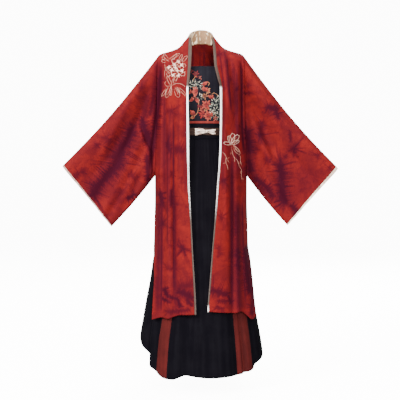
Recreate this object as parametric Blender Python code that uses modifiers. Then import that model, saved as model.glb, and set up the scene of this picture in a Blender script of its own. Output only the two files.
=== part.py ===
"""Hanfu set on a hollow general figure: an open-front robe with wide sleeves, a chest wrap
and a full skirt with a tied belt. Metres, +Z up, the front faces -Y, the wearer's left is +X.
The origin is at the base of the neck, between the two shoulder seams.

Each piece of cloth is a grid laid on a surface worked out from level sections of the garment,
then given its thickness by a Solidify modifier. Outer surfaces are the ones that are drawn.
"""

import math

import bmesh
import bpy
import numpy as np
from mathutils import Vector

ROBE_CLOTH = 0.0015
SKIRT_CLOTH = 0.0015
WRAP_CLOTH = 0.0018
BAND_CLOTH = 0.0022
RIBBON_CLOTH = 0.0012
SEAM = 0.0008
LAYER = 0.0006

NECK_SIDE_Z = 0.048
SHOULDER_Z = -0.0287
ARMPIT_Z = -0.529
SLIT_Z = -0.820
NECK_BACK_Z = 0.020
COLLAR_TOP_Z = 0.0876
COLLAR_SIDE_Z = 0.0550
COLLAR_TOP_HALF_WIDTH = 0.0510
COLLAR_TOP_BACK = 0.0660
FACING_FOOT = 0.06
SKIRT_FOLD_TOP_Z = -0.620

# Level sections of the robe: half its width, how far it stands out at the centre of the front and
# of the back, and the power of the cosine that rounds the section (1 is an ellipse).
ROBE_COLUMNS = ("z", "half_width", "front", "back", "power")
ROBE_SECTIONS = (
    (0.0480, 0.0570, 0.004, 0.040, 1.0),
    (0.0306, 0.0710, 0.016, 0.068, 1.0),
    (0.0056, 0.0940, 0.038, 0.084, 1.0),
    (-0.0085, 0.1260, 0.048, 0.090, 1.0),
    (-0.0204, 0.1670, 0.056, 0.093, 1.0),
    (-0.0287, 0.1780, 0.062, 0.095, 1.0),
    (-0.0800, 0.1800, 0.095, 0.104, 1.5),
    (-0.1200, 0.1810, 0.114, 0.108, 1.6),
    (-0.1670, 0.1825, 0.130, 0.111, 1.6),
    (-0.2500, 0.1850, 0.136, 0.112, 1.6),
    (-0.4000, 0.1890, 0.138, 0.112, 1.5),
    (-0.5290, 0.1930, 0.141, 0.122, 1.0),
    (-0.6200, 0.1930, 0.145, 0.131, 1.0),
    (-0.7200, 0.1955, 0.150, 0.139, 1.0),
    (-0.8200, 0.1985, 0.160, 0.148, 1.0),
    (-0.9000, 0.2150, 0.170, 0.158, 1.0),
    (-1.0000, 0.2350, 0.187, 0.175, 1.0),
    (-1.1200, 0.2600, 0.206, 0.196, 1.0),
)

# Folds flatten where a panel turns over at its side, below this cosine of the section's angle.
SIDE_HOLD = 0.4

# Front edges: the x of the red cloth's edge and of the inner edge of the band sewn to it.
EDGE_COLUMNS = ("z", "right_cloth", "right_band", "left_cloth", "left_band")
EDGE_ROWS = (
    (0.0480, -0.0510, -0.0425, 0.0525, 0.0470),
    (0.0060, -0.0525, -0.0422, 0.0590, 0.0505),
    (-0.0730, -0.0540, -0.0425, 0.0635, 0.0535),
    (-0.1200, -0.0565, -0.0465, 0.0750, 0.0645),
    (-0.1670, -0.0590, -0.0490, 0.0858, 0.0755),
    (-0.3000, -0.0580, -0.0460, 0.0850, 0.0750),
    (-0.4200, -0.0566, -0.0455, 0.0826, 0.0727),
    (-0.5400, -0.0542, -0.0440, 0.0740, 0.0645),
    (-0.7245, -0.0433, -0.0355, 0.0600, 0.0515),
    (-0.8250, -0.0384, -0.0300, 0.0510, 0.0430),
    (-1.0240, -0.0289, -0.0190, 0.0380, 0.0290),
    (-1.1000, -0.0265, -0.0160, 0.0320, 0.0240),
)

# Side edges of the front panels below the slits, and of the back panel.
SIDE_COLUMNS = ("z", "right", "left", "back")
SIDE_ROWS = (
    (-0.8200, 0.1985, 0.1985, 0.1985),
    (-0.8800, 0.1960, 0.2070, 0.2000),
    (-0.9480, 0.1940, 0.2141, 0.2040),
    (-1.0400, 0.1980, 0.2216, 0.2120),
    (-1.1200, 0.2015, 0.2290, 0.2200),
)

# Hem heights of the two front panels, over the distance from the centre line.
HEM_COLUMNS = ("x", "z")
RIGHT_HEM = ((0.027, -1.083), (0.117, -1.090), (0.171, -1.110), (0.202, -1.121))
LEFT_HEM = ((0.032, -1.071), (0.110, -1.078), (0.138, -1.081), (0.161, -1.076),
            (0.186, -1.101), (0.214, -1.124), (0.230, -1.106))
BACK_HEM_Z = -1.110

# Level rows at the side of every robe panel, close together where the shoulder turns over.
ROBE_ROWS = (NECK_SIDE_Z, 0.0306, 0.0056, -0.0085, -0.0204, SHOULDER_Z, -0.0400, -0.0600,
             -0.0900, -0.1400, -0.2000, -0.2800, -0.3600, -0.4400, -0.5000, ARMPIT_Z,
             -0.6200, -0.7200, SLIT_Z, -0.9000, -0.9800, -1.0500, -1.1180)
SLEEVE_ROWS = tuple(z for z in ROBE_ROWS if ARMPIT_Z <= z <= SHOULDER_Z)

# Long folds: x at the shoulder end and at the hem end, the heights that they run between, how
# far the cloth moves (inwards if negative) and how wide the fold is at the hem. A fold reaches its
# full depth before the hem, and starts at a share of its full width.
FOLD_COLUMNS = ("top_x", "hem_x", "top_z", "hem_z", "depth", "width")
FRONT_FOLDS = (
    (-0.120, -0.100, -0.10, -1.12, -0.0080, 0.020),
    (-0.150, -0.157, -0.20, -1.12, -0.0075, 0.014),
    (-0.135, -0.128, -0.15, -1.12, 0.0050, 0.016),
    (-0.080, -0.070, -0.25, -1.12, 0.0030, 0.025),
    (0.125, 0.128, -0.15, -1.12, -0.0080, 0.014),
    (0.145, 0.152, -0.15, -1.12, 0.0060, 0.016),
    (0.160, 0.178, -0.10, -1.12, -0.0080, 0.014),
    (0.100, 0.085, -0.25, -1.12, 0.0030, 0.028),
)
FOLD_DEEPENING = 1.6
FOLD_TOP_WIDTH = 0.7
BACK_FOLDS = (
    (-0.110, -0.150, -0.15, -1.12, -0.0070, 0.018),
    (-0.070, -0.085, -0.10, -1.12, 0.0050, 0.022),
    (-0.020, -0.030, -0.20, -1.12, -0.0060, 0.018),
    (0.040, 0.045, -0.15, -1.12, 0.0050, 0.022),
    (0.090, 0.110, -0.10, -1.12, -0.0070, 0.018),
    (0.130, 0.165, -0.20, -1.12, 0.0040, 0.018),
)

# Sleeves: where the upper and lower edges run from the armhole to the cuff, the arm's hollow, the
# upright depth of the sleeve at both ends, the share of the hollow's radius that the flap under it
# keeps, the radii over which it thins, and the share of the depth that rounds into the lower edge.
CUFF_TOP = {"right": (0.5700, -0.4800), "left": (0.5620, -0.4870)}
CUFF_BOTTOM = {"right": (0.3700, -0.7360), "left": (0.3570, -0.7300)}
TOP_SAG = {"right": 0.017, "left": 0.020}
BOTTOM_SAG = 0.006
CUFF_FORWARD = 0.030
ARM_RADIUS_SHOULDER = 0.046
ARM_RADIUS_CUFF = 0.030
ARMHOLE_DEPTH = 0.50
CUFF_DEPTH = 0.32
FLAP_SHARE = 0.42
FLAP_EASING = 3.5
FOOT_SHARE = 0.10
SLEEVE_STATIONS = (0.0, 0.06, 0.18, 0.34, 0.52, 0.70, 0.86, 1.0)
CUFF_WIDTH = 0.008
CUFF_STEP = 0.0003

# Folds of a sleeve, from a share of its depth at the armhole to a share at the cuff. They start
# from nothing at the armhole and end above the lower edge.
SLEEVE_FOLD_COLUMNS = ("armhole", "cuff", "depth", "width")
SLEEVE_FOLDS = ((0.30, 0.62, -0.006, 0.07), (0.45, 0.80, 0.005, 0.06), (0.60, 0.90, -0.005, 0.05))
SLEEVE_FOLD_START = 1 / 3
SLEEVE_FOLD_END = 0.2

# Level sections of the skirt.
SKIRT_COLUMNS = ("z", "half_right", "half_left", "front", "back")
SKIRT_SECTIONS = (
    (-0.3765, 0.142, 0.142, 0.1045, 0.088),
    (-0.4500, 0.158, 0.158, 0.1100, 0.098),
    (-0.5500, 0.175, 0.175, 0.1200, 0.110),
    (-0.6500, 0.181, 0.181, 0.1280, 0.119),
    (-0.7500, 0.184, 0.184, 0.1350, 0.127),
    (-0.8200, 0.188, 0.187, 0.1420, 0.133),
    (-0.8745, 0.201, 0.195, 0.1490, 0.140),
    (-0.9500, 0.212, 0.206, 0.1610, 0.152),
    (-1.0500, 0.231, 0.223, 0.1780, 0.167),
    (-1.1300, 0.245, 0.238, 0.1900, 0.179),
    (-1.2055, 0.257, 0.252, 0.2000, 0.190),
    (-1.3500, 0.264, 0.274, 0.2150, 0.205),
)

# Hem height round the skirt; 0 degrees is the front, 90 the wearer's left side.
SKIRT_HEM_COLUMNS = ("degrees", "z")
SKIRT_HEM = (
    (-180, -1.300), (-140, -1.295), (-110, -1.235), (-90, -1.206), (-70, -1.236), (-62, -1.266),
    (-55, -1.304), (-47, -1.322), (-34, -1.345), (-26, -1.347), (-14, -1.330), (8, -1.338),
    (34, -1.332), (53, -1.318), (58, -1.302), (67, -1.287), (88, -1.250), (105, -1.225),
    (140, -1.290), (180, -1.300),
)

# Upright folds of the skirt: where, how wide, and the share of the radius moved at the hem.
SKIRT_FOLD_COLUMNS = ("degrees", "width", "share")
SKIRT_FOLDS = (
    (-62, 5, -0.085), (-47, 5, -0.030), (-30, 6, 0.020), (-14, 6, -0.035), (18, 10, 0.015),
    (34, 5, -0.030), (44, 4, -0.025), (58, 5, -0.020), (72, 8, 0.020), (110, 9, -0.040),
    (135, 9, 0.030), (160, 9, -0.040), (-172, 9, 0.020), (-148, 9, -0.040), (-120, 9, 0.030),
)
SKIRT_ROWS = (-0.3765, -0.460, -0.560, -0.680, -0.790, -0.880, -0.970, -1.060, -1.150,
              -1.240, -1.347)

# Seams of the skirt at the waist and at the hem, in degrees, and the radii that turn a seam's gap
# into an angle there.
SKIRT_SEAM_COLUMNS = ("name", "waist", "hem")
SKIRT_WAIST_RADIUS = 0.10
SKIRT_HEM_RADIUS = 0.23
SKIRT_SEAMS = (
    ("right_front", -30.0, -33.0), ("right_side", -38.0, -47.0), ("right_back", -100.0, -104.0),
    ("left_back", 100.0, 104.0), ("left_side", 48.0, 55.0), ("left_front", 31.0, 34.0),
)

# Level sections of the chest wrap.
WRAP_COLUMNS = ("z", "half_width", "front", "back")
WRAP_SECTIONS = (
    (-0.0780, 0.133, 0.0760, 0.080),
    (-0.1200, 0.141, 0.0940, 0.086),
    (-0.1670, 0.146, 0.1080, 0.090),
    (-0.2200, 0.143, 0.1120, 0.088),
    (-0.3040, 0.136, 0.1075, 0.085),
    (-0.3765, 0.140, 0.1045, 0.087),
)
WRAP_SIDE_RADIUS = 0.090
WRAP_SEAM_HALF = 0.0006
WRAP_TOP_Z = -0.0780
WRAP_BAND_TOP_Z = -0.3035
WAISTBAND_TOP_Z = -0.3160
WAISTBAND_BOTTOM_Z = -0.3760
BELT_TOP_Z = -0.3310
BELT_BOTTOM_Z = -0.3610

BELT_CLOTH = 0.0015
BELT_GROW = BELT_CLOTH + LAYER
BOW_KNOT_X = 0.0245
BOW_KNOT_Y = -0.1130
BOW_KNOT_SIZE = (0.0032, 0.0060, 0.0075)
BOW_PUFF = 0.0050
BOW_GAP = 0.0009
BOW_Z = -0.3460
BOW_RIGHT_END_X = -0.0270
BOW_LEFT_END_X = 0.0640
BOW_RIGHT_HALF_HEIGHT = 0.0140
BOW_LEFT_HALF_HEIGHT = 0.0120
BOW_PINCHED_HALF_HEIGHT = 0.0060

RED_DYED = (0.43, 0.022, 0.018)
BLACK_CLOTH = (0.010, 0.009, 0.013)
GODET_RED = (0.18, 0.013, 0.012)
BROCADE = (0.50, 0.37, 0.26)
CREAM = (0.80, 0.70, 0.58)
BELT_BROWN = (0.035, 0.014, 0.012)


def column(columns, rows, name):
    """One named column of a table, as an array."""
    return np.array([row[columns.index(name)] for row in rows], float)


def smooth(at, known, values):
    """A smooth curve through the rows of a table: cubic pieces with slopes that never overshoot."""
    order = np.argsort(known)
    known, values = known[order], values[order]
    step = np.diff(known)
    rise = np.diff(values) / step
    both = rise[1:] * rise[:-1]
    inner = np.where(both > 0, 2 * both / (rise[1:] + rise[:-1] + 1e-12), 0.0)
    slope = np.concatenate([rise[:1], inner, rise[-1:]])
    at = np.clip(at, known[0], known[-1])
    i = np.clip(np.searchsorted(known, at) - 1, 0, len(step) - 1)
    t = (at - known[i]) / step[i]
    start = (1 + 2 * t) * (1 - t) ** 2 * values[i] + t * (1 - t) ** 2 * slope[i] * step[i]
    end = t * t * (3 - 2 * t) * values[i + 1] + t * t * (t - 1) * slope[i + 1] * step[i]
    return start + end


def read(columns, rows, name, at):
    """A named column of a table at any height, angle or distance."""
    known = column(columns, rows, columns[0])
    return smooth(np.asarray(at, float), known, column(columns, rows, name))


def ease(t):
    """0 below 0, 1 above 1, and smooth between."""
    t = np.clip(t, 0.0, 1.0)
    return t * t * (3 - 2 * t)


def bell(distance, width):
    """1 at the middle of a fold, falling away smoothly to each side."""
    return np.exp(-(distance / width) ** 2)


def sleeve_depth(share, station):
    """Half the sleeve's thickness. The arm fills a round at the top, and the flap hangs under it.

    share is 0 at the sleeve's upper edge and 1 at its lower edge, station 0 at the armhole and
    1 at the cuff.
    """
    radius = ARM_RADIUS_SHOULDER + (ARM_RADIUS_CUFF - ARM_RADIUS_SHOULDER) * station
    height = ARMHOLE_DEPTH + (CUFF_DEPTH - ARMHOLE_DEPTH) * station
    drop = np.asarray(share, float) * height / radius
    arm = np.sqrt(np.clip(drop * (2 - drop), 0, 1))
    arm = np.where(drop > 1, 1 - (1 - FLAP_SHARE) * ease((drop - 1) / FLAP_EASING), arm)
    foot = np.clip((1 - np.asarray(share, float)) / FOOT_SHARE, 0, 1)
    return radius * arm * np.sqrt(foot * (2 - foot))


def armhole_depth(z):
    """Half the robe's thickness at the armhole seam, 0 above the shoulder and below the armpit."""
    share = (SHOULDER_Z - z) / (SHOULDER_Z - ARMPIT_Z)
    inside = (share > 0) & (share < 1)
    return np.where(inside, sleeve_depth(np.clip(share, 0, 1), 0.0), 0.0)


def folds(rows, x, z):
    """How far the long folds move the cloth outwards."""
    total = np.zeros_like(x)
    for row in rows:
        fold = dict(zip(FOLD_COLUMNS, row))
        along = np.clip((fold["top_z"] - z) / (fold["top_z"] - fold["hem_z"]), 0, 1)
        middle = fold["top_x"] + (fold["hem_x"] - fold["top_x"]) * along
        width = fold["width"] * (FOLD_TOP_WIDTH + (1 - FOLD_TOP_WIDTH) * along)
        total += fold["depth"] * ease(along * FOLD_DEEPENING) * bell(x - middle, width)
    return total


def robe_half_width(z):
    """Half the robe's width at a height."""
    return read(ROBE_COLUMNS, ROBE_SECTIONS, "half_width", z)


def robe_y(x, z, side):
    """How far the robe stands out from the middle plane at x and z, at the front or the back."""
    share = np.clip(np.abs(x) / robe_half_width(z), 0, 1)
    depth = read(ROBE_COLUMNS, ROBE_SECTIONS, side, z)
    power = read(ROBE_COLUMNS, ROBE_SECTIONS, "power", z)
    seam = armhole_depth(z)
    inward = np.sqrt(1 - share**2)
    held = ease(inward / SIDE_HOLD)
    moved = folds(FRONT_FOLDS if side == "front" else BACK_FOLDS, x, z) * held
    return SEAM / 2 + seam + (depth - seam) * inward**power + moved


def faces_inwards(work, closed):
    """Whether a piece's faces look towards its own middle, or an open panel's towards the z axis."""
    total = 0.0
    middle = sum((face.calc_center_median() for face in work.faces), Vector()) / len(work.faces)
    for face in work.faces:
        center = face.calc_center_median()
        outward = center - middle if closed else Vector((center.x, center.y, 0.0))
        total += face.normal.dot(outward) * face.calc_area()
    return total < 0


def cloth(name, columns, rows, surface, thickness, material, closed=False):
    """A piece of cloth: a grid moved to surface(u, v), u and v from 0 to 1, and thickened inwards."""
    work = bmesh.new()
    bmesh.ops.create_grid(work, x_segments=columns, y_segments=rows, size=1.0)
    work.verts.ensure_lookup_table()
    flat = np.array([vertex.co[:2] for vertex in work.verts]) * 0.5 + 0.5
    points = np.stack(surface(flat[:, 0], flat[:, 1]), axis=1)
    for vertex, point in zip(work.verts, points):
        vertex.co = point
    if closed:
        bmesh.ops.remove_doubles(work, verts=work.verts, dist=1e-5)
    work.normal_update()
    if faces_inwards(work, closed):
        bmesh.ops.reverse_faces(work, faces=work.faces)
    mesh = bpy.data.meshes.new(name)
    work.to_mesh(mesh)
    work.free()
    mesh.shade_smooth()
    mesh.materials.append(material)
    piece = bpy.data.objects.new(name, mesh)
    wall = piece.modifiers.new("Wall", "SOLIDIFY")
    wall.thickness = thickness
    wall.offset = -1.0
    bpy.data.collections["HanfuSet"].objects.link(piece)
    return piece


def finish(name, color, roughness):
    """A plain Principled material."""
    material = bpy.data.materials.new(name)
    material.use_nodes = True
    shader = material.node_tree.nodes["Principled BSDF"]
    shader.inputs["Base Color"].default_value = (*color, 1.0)
    shader.inputs["Roughness"].default_value = roughness
    shader.inputs["Metallic"].default_value = 0.0
    return material


def spread(share, stations):
    """A share from 0 to 1 along a list of stations."""
    places = np.linspace(0, 1, len(stations))
    return np.interp(share, places, stations)


def front_panel(side, hem, material):
    """A front panel, from its opening edge to the shoulder, armhole and side seams."""
    sign = -1.0 if side == "right" else 1.0
    hem_x, hem_z = (column(HEM_COLUMNS, hem, name) for name in HEM_COLUMNS)

    def surface(u, v):
        side_z = spread(v, ROBE_ROWS)
        low = ease((SLIT_Z - side_z) / (SLIT_Z - ROBE_ROWS[-1]))
        edge = sign * read(EDGE_COLUMNS, EDGE_ROWS, side + "_cloth", side_z)
        half = robe_half_width(side_z)
        outer = np.where(side_z < SLIT_Z, read(SIDE_COLUMNS, SIDE_ROWS, side, side_z), half)
        start = np.arcsin(np.clip(edge / half, 0, 1))
        stop = np.arcsin(np.clip(outer / half, 0, 1))
        x = half * np.sin(start + (stop - start) * u)
        z = side_z + low * (smooth(x, hem_x, hem_z) - ROBE_ROWS[-1])
        return sign * x, -robe_y(sign * x, z, "front"), z

    return cloth("robe_front_" + side, 9, len(ROBE_ROWS) - 1, surface, ROBE_CLOTH, material)


def back_panel(side, material):
    """Half of the back, from its centre seam to the neckline, shoulder, armhole and side seams."""
    sign = -1.0 if side == "right" else 1.0

    def surface(u, v):
        turn = u * math.pi / 2
        neck = NECK_BACK_Z + (NECK_SIDE_Z - NECK_BACK_Z) * np.sin(turn) ** 2
        side_z = spread(v, ROBE_ROWS)
        high = ease((side_z - ARMPIT_Z) / (NECK_SIDE_Z - ARMPIT_Z)) ** 2
        low = ease((SLIT_Z - side_z) / (SLIT_Z - ROBE_ROWS[-1]))
        z = side_z + (neck - NECK_SIDE_Z) * high + low * (BACK_HEM_Z - ROBE_ROWS[-1])
        half = robe_half_width(z)
        outer = np.where(side_z < SLIT_Z, read(SIDE_COLUMNS, SIDE_ROWS, "back", side_z), half)
        reach = np.arcsin(np.clip(outer / half, 0, 1)) / (math.pi / 2)
        x = sign * (half * np.sin(turn * reach) + SEAM / 2 * (1 - u))
        return x, robe_y(x, z, "back"), z

    return cloth("robe_back_" + side, 7, len(ROBE_ROWS) - 1, surface, ROBE_CLOTH, material)


def sleeve_middle(station):
    """The y of the sleeve's middle plane, which comes forward towards the cuff."""
    return -CUFF_FORWARD * station**2


def sleeve_points(side, around, station, grow=0.0):
    """Points of a sleeve. around runs from 0 at the lower edge, over the arm at 0.5, to 1."""
    sign = -1.0 if side == "right" else 1.0
    share = np.abs(around - 0.5) * 2
    face = np.sign(around - 0.5)
    z_hole = spread(share, SLEEVE_ROWS)
    share = (SHOULDER_Z - z_hole) / (SHOULDER_Z - ARMPIT_Z)
    hole_x = robe_half_width(z_hole) + SEAM / 2
    cuff_x = CUFF_TOP[side][0] + (CUFF_BOTTOM[side][0] - CUFF_TOP[side][0]) * share
    cuff_z = CUFF_TOP[side][1] + (CUFF_BOTTOM[side][1] - CUFF_TOP[side][1]) * share
    sag = TOP_SAG[side] * (1 - share) + BOTTOM_SAG * share
    x = hole_x + (cuff_x - hole_x) * station
    z = z_hole + (cuff_z - z_hole) * station - sag * np.sin(math.pi * np.clip(station, 0, 1))
    depth = SEAM / 2 + grow + sleeve_depth(share, station)
    moved = np.zeros_like(share)
    for row in SLEEVE_FOLDS:
        fold = dict(zip(SLEEVE_FOLD_COLUMNS, row))
        middle = fold["armhole"] + (fold["cuff"] - fold["armhole"]) * station
        moved += fold["depth"] * bell(share - middle, fold["width"])
    moved *= ease(station / SLEEVE_FOLD_START) * ease((1 - share) / SLEEVE_FOLD_END)
    return sign * x, sleeve_middle(station) + face * (depth + moved * (face < 0)), z


def sleeve(side, material):
    """A sleeve, one piece folded over the arm and closed along its lower edge."""

    def surface(u, v):
        station = spread(v, SLEEVE_STATIONS)
        x, y, z = sleeve_points(side, u, station)
        return x, np.where((u == 0) | (u == 1), sleeve_middle(station), y), z

    around = 2 * (len(SLEEVE_ROWS) - 1)
    return cloth("sleeve_" + side, around, len(SLEEVE_STATIONS) - 1, surface, ROBE_CLOTH,
                 material, closed=True)


def cuff(side, material):
    """The narrow binding that goes on from a sleeve's open end."""

    def surface(u, v):
        sleeve_length = CUFF_TOP[side][0] - robe_half_width(SHOULDER_Z)
        station = 1 + (SEAM + CUFF_WIDTH * v) / sleeve_length
        x, y, z = sleeve_points(side, u, station, grow=CUFF_STEP)
        return x, np.where((u == 0) | (u == 1), sleeve_middle(station), y), z

    around = 2 * (len(SLEEVE_ROWS) - 1)
    return cloth("cuff_" + side, around, 1, surface, BAND_CLOTH, material, closed=True)


def front_band(side, hem, material):
    """The band sewn flush to a front edge, from the neck to the hem."""
    sign = -1.0 if side == "right" else 1.0
    hem_x, hem_z = (column(HEM_COLUMNS, hem, name) for name in HEM_COLUMNS)

    def surface(u, v):
        side_z = spread(v, ROBE_ROWS)
        low = ease((SLIT_Z - side_z) / (SLIT_Z - ROBE_ROWS[-1]))
        cloth_edge = sign * read(EDGE_COLUMNS, EDGE_ROWS, side + "_cloth", side_z) - SEAM
        band_edge = sign * read(EDGE_COLUMNS, EDGE_ROWS, side + "_band", side_z)
        x = cloth_edge + (band_edge - cloth_edge) * u
        z = side_z + low * (smooth(cloth_edge, hem_x, hem_z) - ROBE_ROWS[-1])
        return sign * x, -robe_y(sign * x, z, "front"), z

    return cloth("front_band_" + side, 1, len(ROBE_ROWS) - 1, surface, BAND_CLOTH, material)


def collar(name, inset, foot, thickness, material):
    """Part of the band that stands up round the back of the neck, from its seam to its top."""

    def surface(u, v):
        turn = (u - 0.5) * math.pi
        rise = foot + (1 - foot) * v
        neck_z = NECK_BACK_Z + (NECK_SIDE_Z - NECK_BACK_Z) * np.sin(turn) ** 2
        low_x = (robe_half_width(neck_z) - inset) * np.sin(turn)
        low_y = SEAM / 2 + (read(ROBE_COLUMNS, ROBE_SECTIONS, "back", neck_z) - inset) * np.cos(turn)
        top_x = (COLLAR_TOP_HALF_WIDTH - inset) * np.sin(turn)
        top_y = SEAM / 2 + (COLLAR_TOP_BACK - inset) * np.cos(turn)
        top_z = COLLAR_SIDE_Z + (COLLAR_TOP_Z - COLLAR_SIDE_Z) * np.cos(turn)
        x = low_x + (top_x - low_x) * rise
        y = low_y + (top_y - low_y) * rise
        return x, y, neck_z + SEAM + (top_z - neck_z - SEAM) * rise

    return cloth(name, 12, 3, surface, thickness, material)


def skirt_points(turn, z):
    """Points of the skirt at an angle from the front and a height."""
    degrees = np.degrees(turn)
    half = np.where(np.sin(turn) < 0, read(SKIRT_COLUMNS, SKIRT_SECTIONS, "half_right", z),
                    read(SKIRT_COLUMNS, SKIRT_SECTIONS, "half_left", z))
    depth = np.where(np.cos(turn) > 0, read(SKIRT_COLUMNS, SKIRT_SECTIONS, "front", z),
                     read(SKIRT_COLUMNS, SKIRT_SECTIONS, "back", z))
    share = np.zeros_like(z)
    for row in SKIRT_FOLDS:
        fold = dict(zip(SKIRT_FOLD_COLUMNS, row))
        share += fold["share"] * bell((degrees - fold["degrees"] + 180) % 360 - 180, fold["width"])
    reach = 1 + share * ease((SKIRT_FOLD_TOP_Z - z) / (SKIRT_FOLD_TOP_Z - SKIRT_ROWS[-1]))
    return half * np.sin(turn) * reach, -depth * np.cos(turn) * reach, z


def skirt_panel(name, first, last, columns, material):
    """A panel or gore of the skirt between two seams, each given at the waist and at the hem."""

    def surface(u, v):
        row = spread(v, SKIRT_ROWS)
        down = (SKIRT_ROWS[0] - row) / (SKIRT_ROWS[0] - SKIRT_ROWS[-1])
        radius = SKIRT_WAIST_RADIUS + (SKIRT_HEM_RADIUS - SKIRT_WAIST_RADIUS) * down
        start = np.radians(first[0] + (first[1] - first[0]) * down) + SEAM / 2 / radius
        stop = np.radians(last[0] + (last[1] - last[0]) * down) - SEAM / 2 / radius
        turn = start + (stop - start) * u
        degrees = (np.degrees(turn) + 180) % 360 - 180
        hem = read(SKIRT_HEM_COLUMNS, SKIRT_HEM, "z", degrees)
        low = ease((SKIRT_FOLD_TOP_Z - row) / (SKIRT_FOLD_TOP_Z - SKIRT_ROWS[-1]))
        return skirt_points(turn, row + low * (hem - SKIRT_ROWS[-1]))

    return cloth(name, columns, len(SKIRT_ROWS) - 1, surface, SKIRT_CLOTH, material)


def wrap_points(turn, z, grow=0.0):
    """Points of the chest wrap or the waistband at an angle from the front and a height."""
    half = read(WRAP_COLUMNS, WRAP_SECTIONS, "half_width", z) + grow
    depth = grow + np.where(np.cos(turn) > 0, read(WRAP_COLUMNS, WRAP_SECTIONS, "front", z),
                            read(WRAP_COLUMNS, WRAP_SECTIONS, "back", z))
    return half * np.sin(turn), -depth * np.cos(turn), z


def wrap_half(name, start, stop, material):
    """The front or the back of the chest wrap, between its side seams, given in degrees."""
    gap = math.degrees(WRAP_SEAM_HALF / WRAP_SIDE_RADIUS)

    def surface(u, v):
        turn = np.radians(start + gap + (stop - start - 2 * gap) * u)
        return wrap_points(turn, WRAP_TOP_Z + (WRAP_BAND_TOP_Z + SEAM - WRAP_TOP_Z) * v)

    return cloth(name, 12, 4, surface, WRAP_CLOTH, material)


def ring(name, top, bottom, rows, grow, thickness, material):
    """A band that goes all the way round the waist between two heights."""

    def surface(u, v):
        return wrap_points(2 * math.pi * u, top + (bottom - top) * v, grow)

    return cloth(name, 24, rows, surface, thickness, material, closed=True)


def bow_loop(name, end_x, knot_x, end_height, material):
    """One loop of the bow: ribbon out from the knot and back, wide at the end and pinched."""
    middle = (end_x + knot_x) / 2
    length = abs(end_x - knot_x) / 2

    def surface(u, v):
        angle = 2 * math.pi * u
        x = middle + length * np.cos(angle)
        open_share = np.abs(x - knot_x) / (2 * length)
        height = BOW_PINCHED_HALF_HEIGHT + (end_height - BOW_PINCHED_HALF_HEIGHT) * open_share
        belt_half = read(WRAP_COLUMNS, WRAP_SECTIONS, "half_width", BOW_Z)
        belt_depth = read(WRAP_COLUMNS, WRAP_SECTIONS, "front", BOW_Z)
        belt_y = -belt_depth * np.sqrt(1 - (x / belt_half) ** 2) - BELT_GROW
        y = belt_y - BOW_GAP - BOW_PUFF * (1 + np.sin(angle))
        return x, y, BOW_Z + height * (2 * v - 1)

    return cloth(name, 14, 2, surface, RIBBON_CLOTH, material, closed=True)


def bow_knot(material):
    """The knot that pinches the bow, a rounded lump."""
    work = bmesh.new()
    bmesh.ops.create_uvsphere(work, u_segments=12, v_segments=8, radius=1.0)
    for vertex in work.verts:
        vertex.co = (BOW_KNOT_X + BOW_KNOT_SIZE[0] * vertex.co.x,
                     BOW_KNOT_Y + BOW_KNOT_SIZE[1] * vertex.co.y,
                     BOW_Z + BOW_KNOT_SIZE[2] * vertex.co.z)
    mesh = bpy.data.meshes.new("bow_knot")
    work.to_mesh(mesh)
    work.free()
    mesh.shade_smooth()
    mesh.materials.append(material)
    bpy.data.collections["HanfuSet"].objects.link(bpy.data.objects.new("bow_knot", mesh))


def build_robe():
    """The open robe: back, fronts, sleeves, cuffs, collar and front bands."""
    collar("collar_outer", 0.0, 0.0, ROBE_CLOTH, finish("CollarOuter", RED_DYED, 0.75))
    collar("collar_facing", ROBE_CLOTH + 2 * LAYER, FACING_FOOT, BAND_CLOTH,
           finish("CollarFacing", BROCADE, 0.45))
    for side, hem in (("right", RIGHT_HEM), ("left", LEFT_HEM)):
        label = side.capitalize()
        back_panel(side, finish("RobeBack" + label, RED_DYED, 0.75))
        front_panel(side, hem, finish("RobeFront" + label, RED_DYED, 0.75))
        sleeve(side, finish("Sleeve" + label, RED_DYED, 0.75))
        cuff(side, finish("Cuff" + label, CREAM, 0.6))
        front_band(side, hem, finish("FrontBand" + label, BROCADE, 0.45))


def build_wrap():
    """The chest wrap and the band along its lower edge."""
    wrap_half("wrap_front", -90.0, 90.0, finish("WrapFront", BLACK_CLOTH, 0.6))
    wrap_half("wrap_back", 90.0, 270.0, finish("WrapBack", BLACK_CLOTH, 0.6))
    ring("wrap_band", WRAP_BAND_TOP_Z, WAISTBAND_TOP_Z + SEAM, 1, 0.0, WRAP_CLOTH,
         finish("WrapBand", GODET_RED, 0.6))


def build_skirt():
    """The skirt's waistband, four panels and two gores."""
    seams = {}
    for row in SKIRT_SEAMS:
        seam = dict(zip(SKIRT_SEAM_COLUMNS, row))
        seams[seam["name"]] = (seam["waist"], seam["hem"])
    around = (seams["right_back"][0] + 360, seams["right_back"][1] + 360)
    ring("skirt_waistband", WAISTBAND_TOP_Z, WAISTBAND_BOTTOM_Z, 1, 0.0, WRAP_CLOTH,
         finish("SkirtWaistband", BLACK_CLOTH, 0.6))
    panels = (
        ("skirt_front", seams["right_front"], seams["left_front"], 10, BLACK_CLOTH),
        ("godet_right", seams["right_side"], seams["right_front"], 3, GODET_RED),
        ("godet_left", seams["left_front"], seams["left_side"], 4, GODET_RED),
        ("skirt_side_right", seams["right_back"], seams["right_side"], 9, BLACK_CLOTH),
        ("skirt_side_left", seams["left_side"], seams["left_back"], 8, BLACK_CLOTH),
        ("skirt_back", seams["left_back"], around, 16, BLACK_CLOTH),
    )
    for name, first, last, columns, color in panels:
        label = "".join(word.capitalize() for word in name.split("_"))
        skirt_panel(name, first, last, columns, finish(label, color, 0.7))


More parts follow.
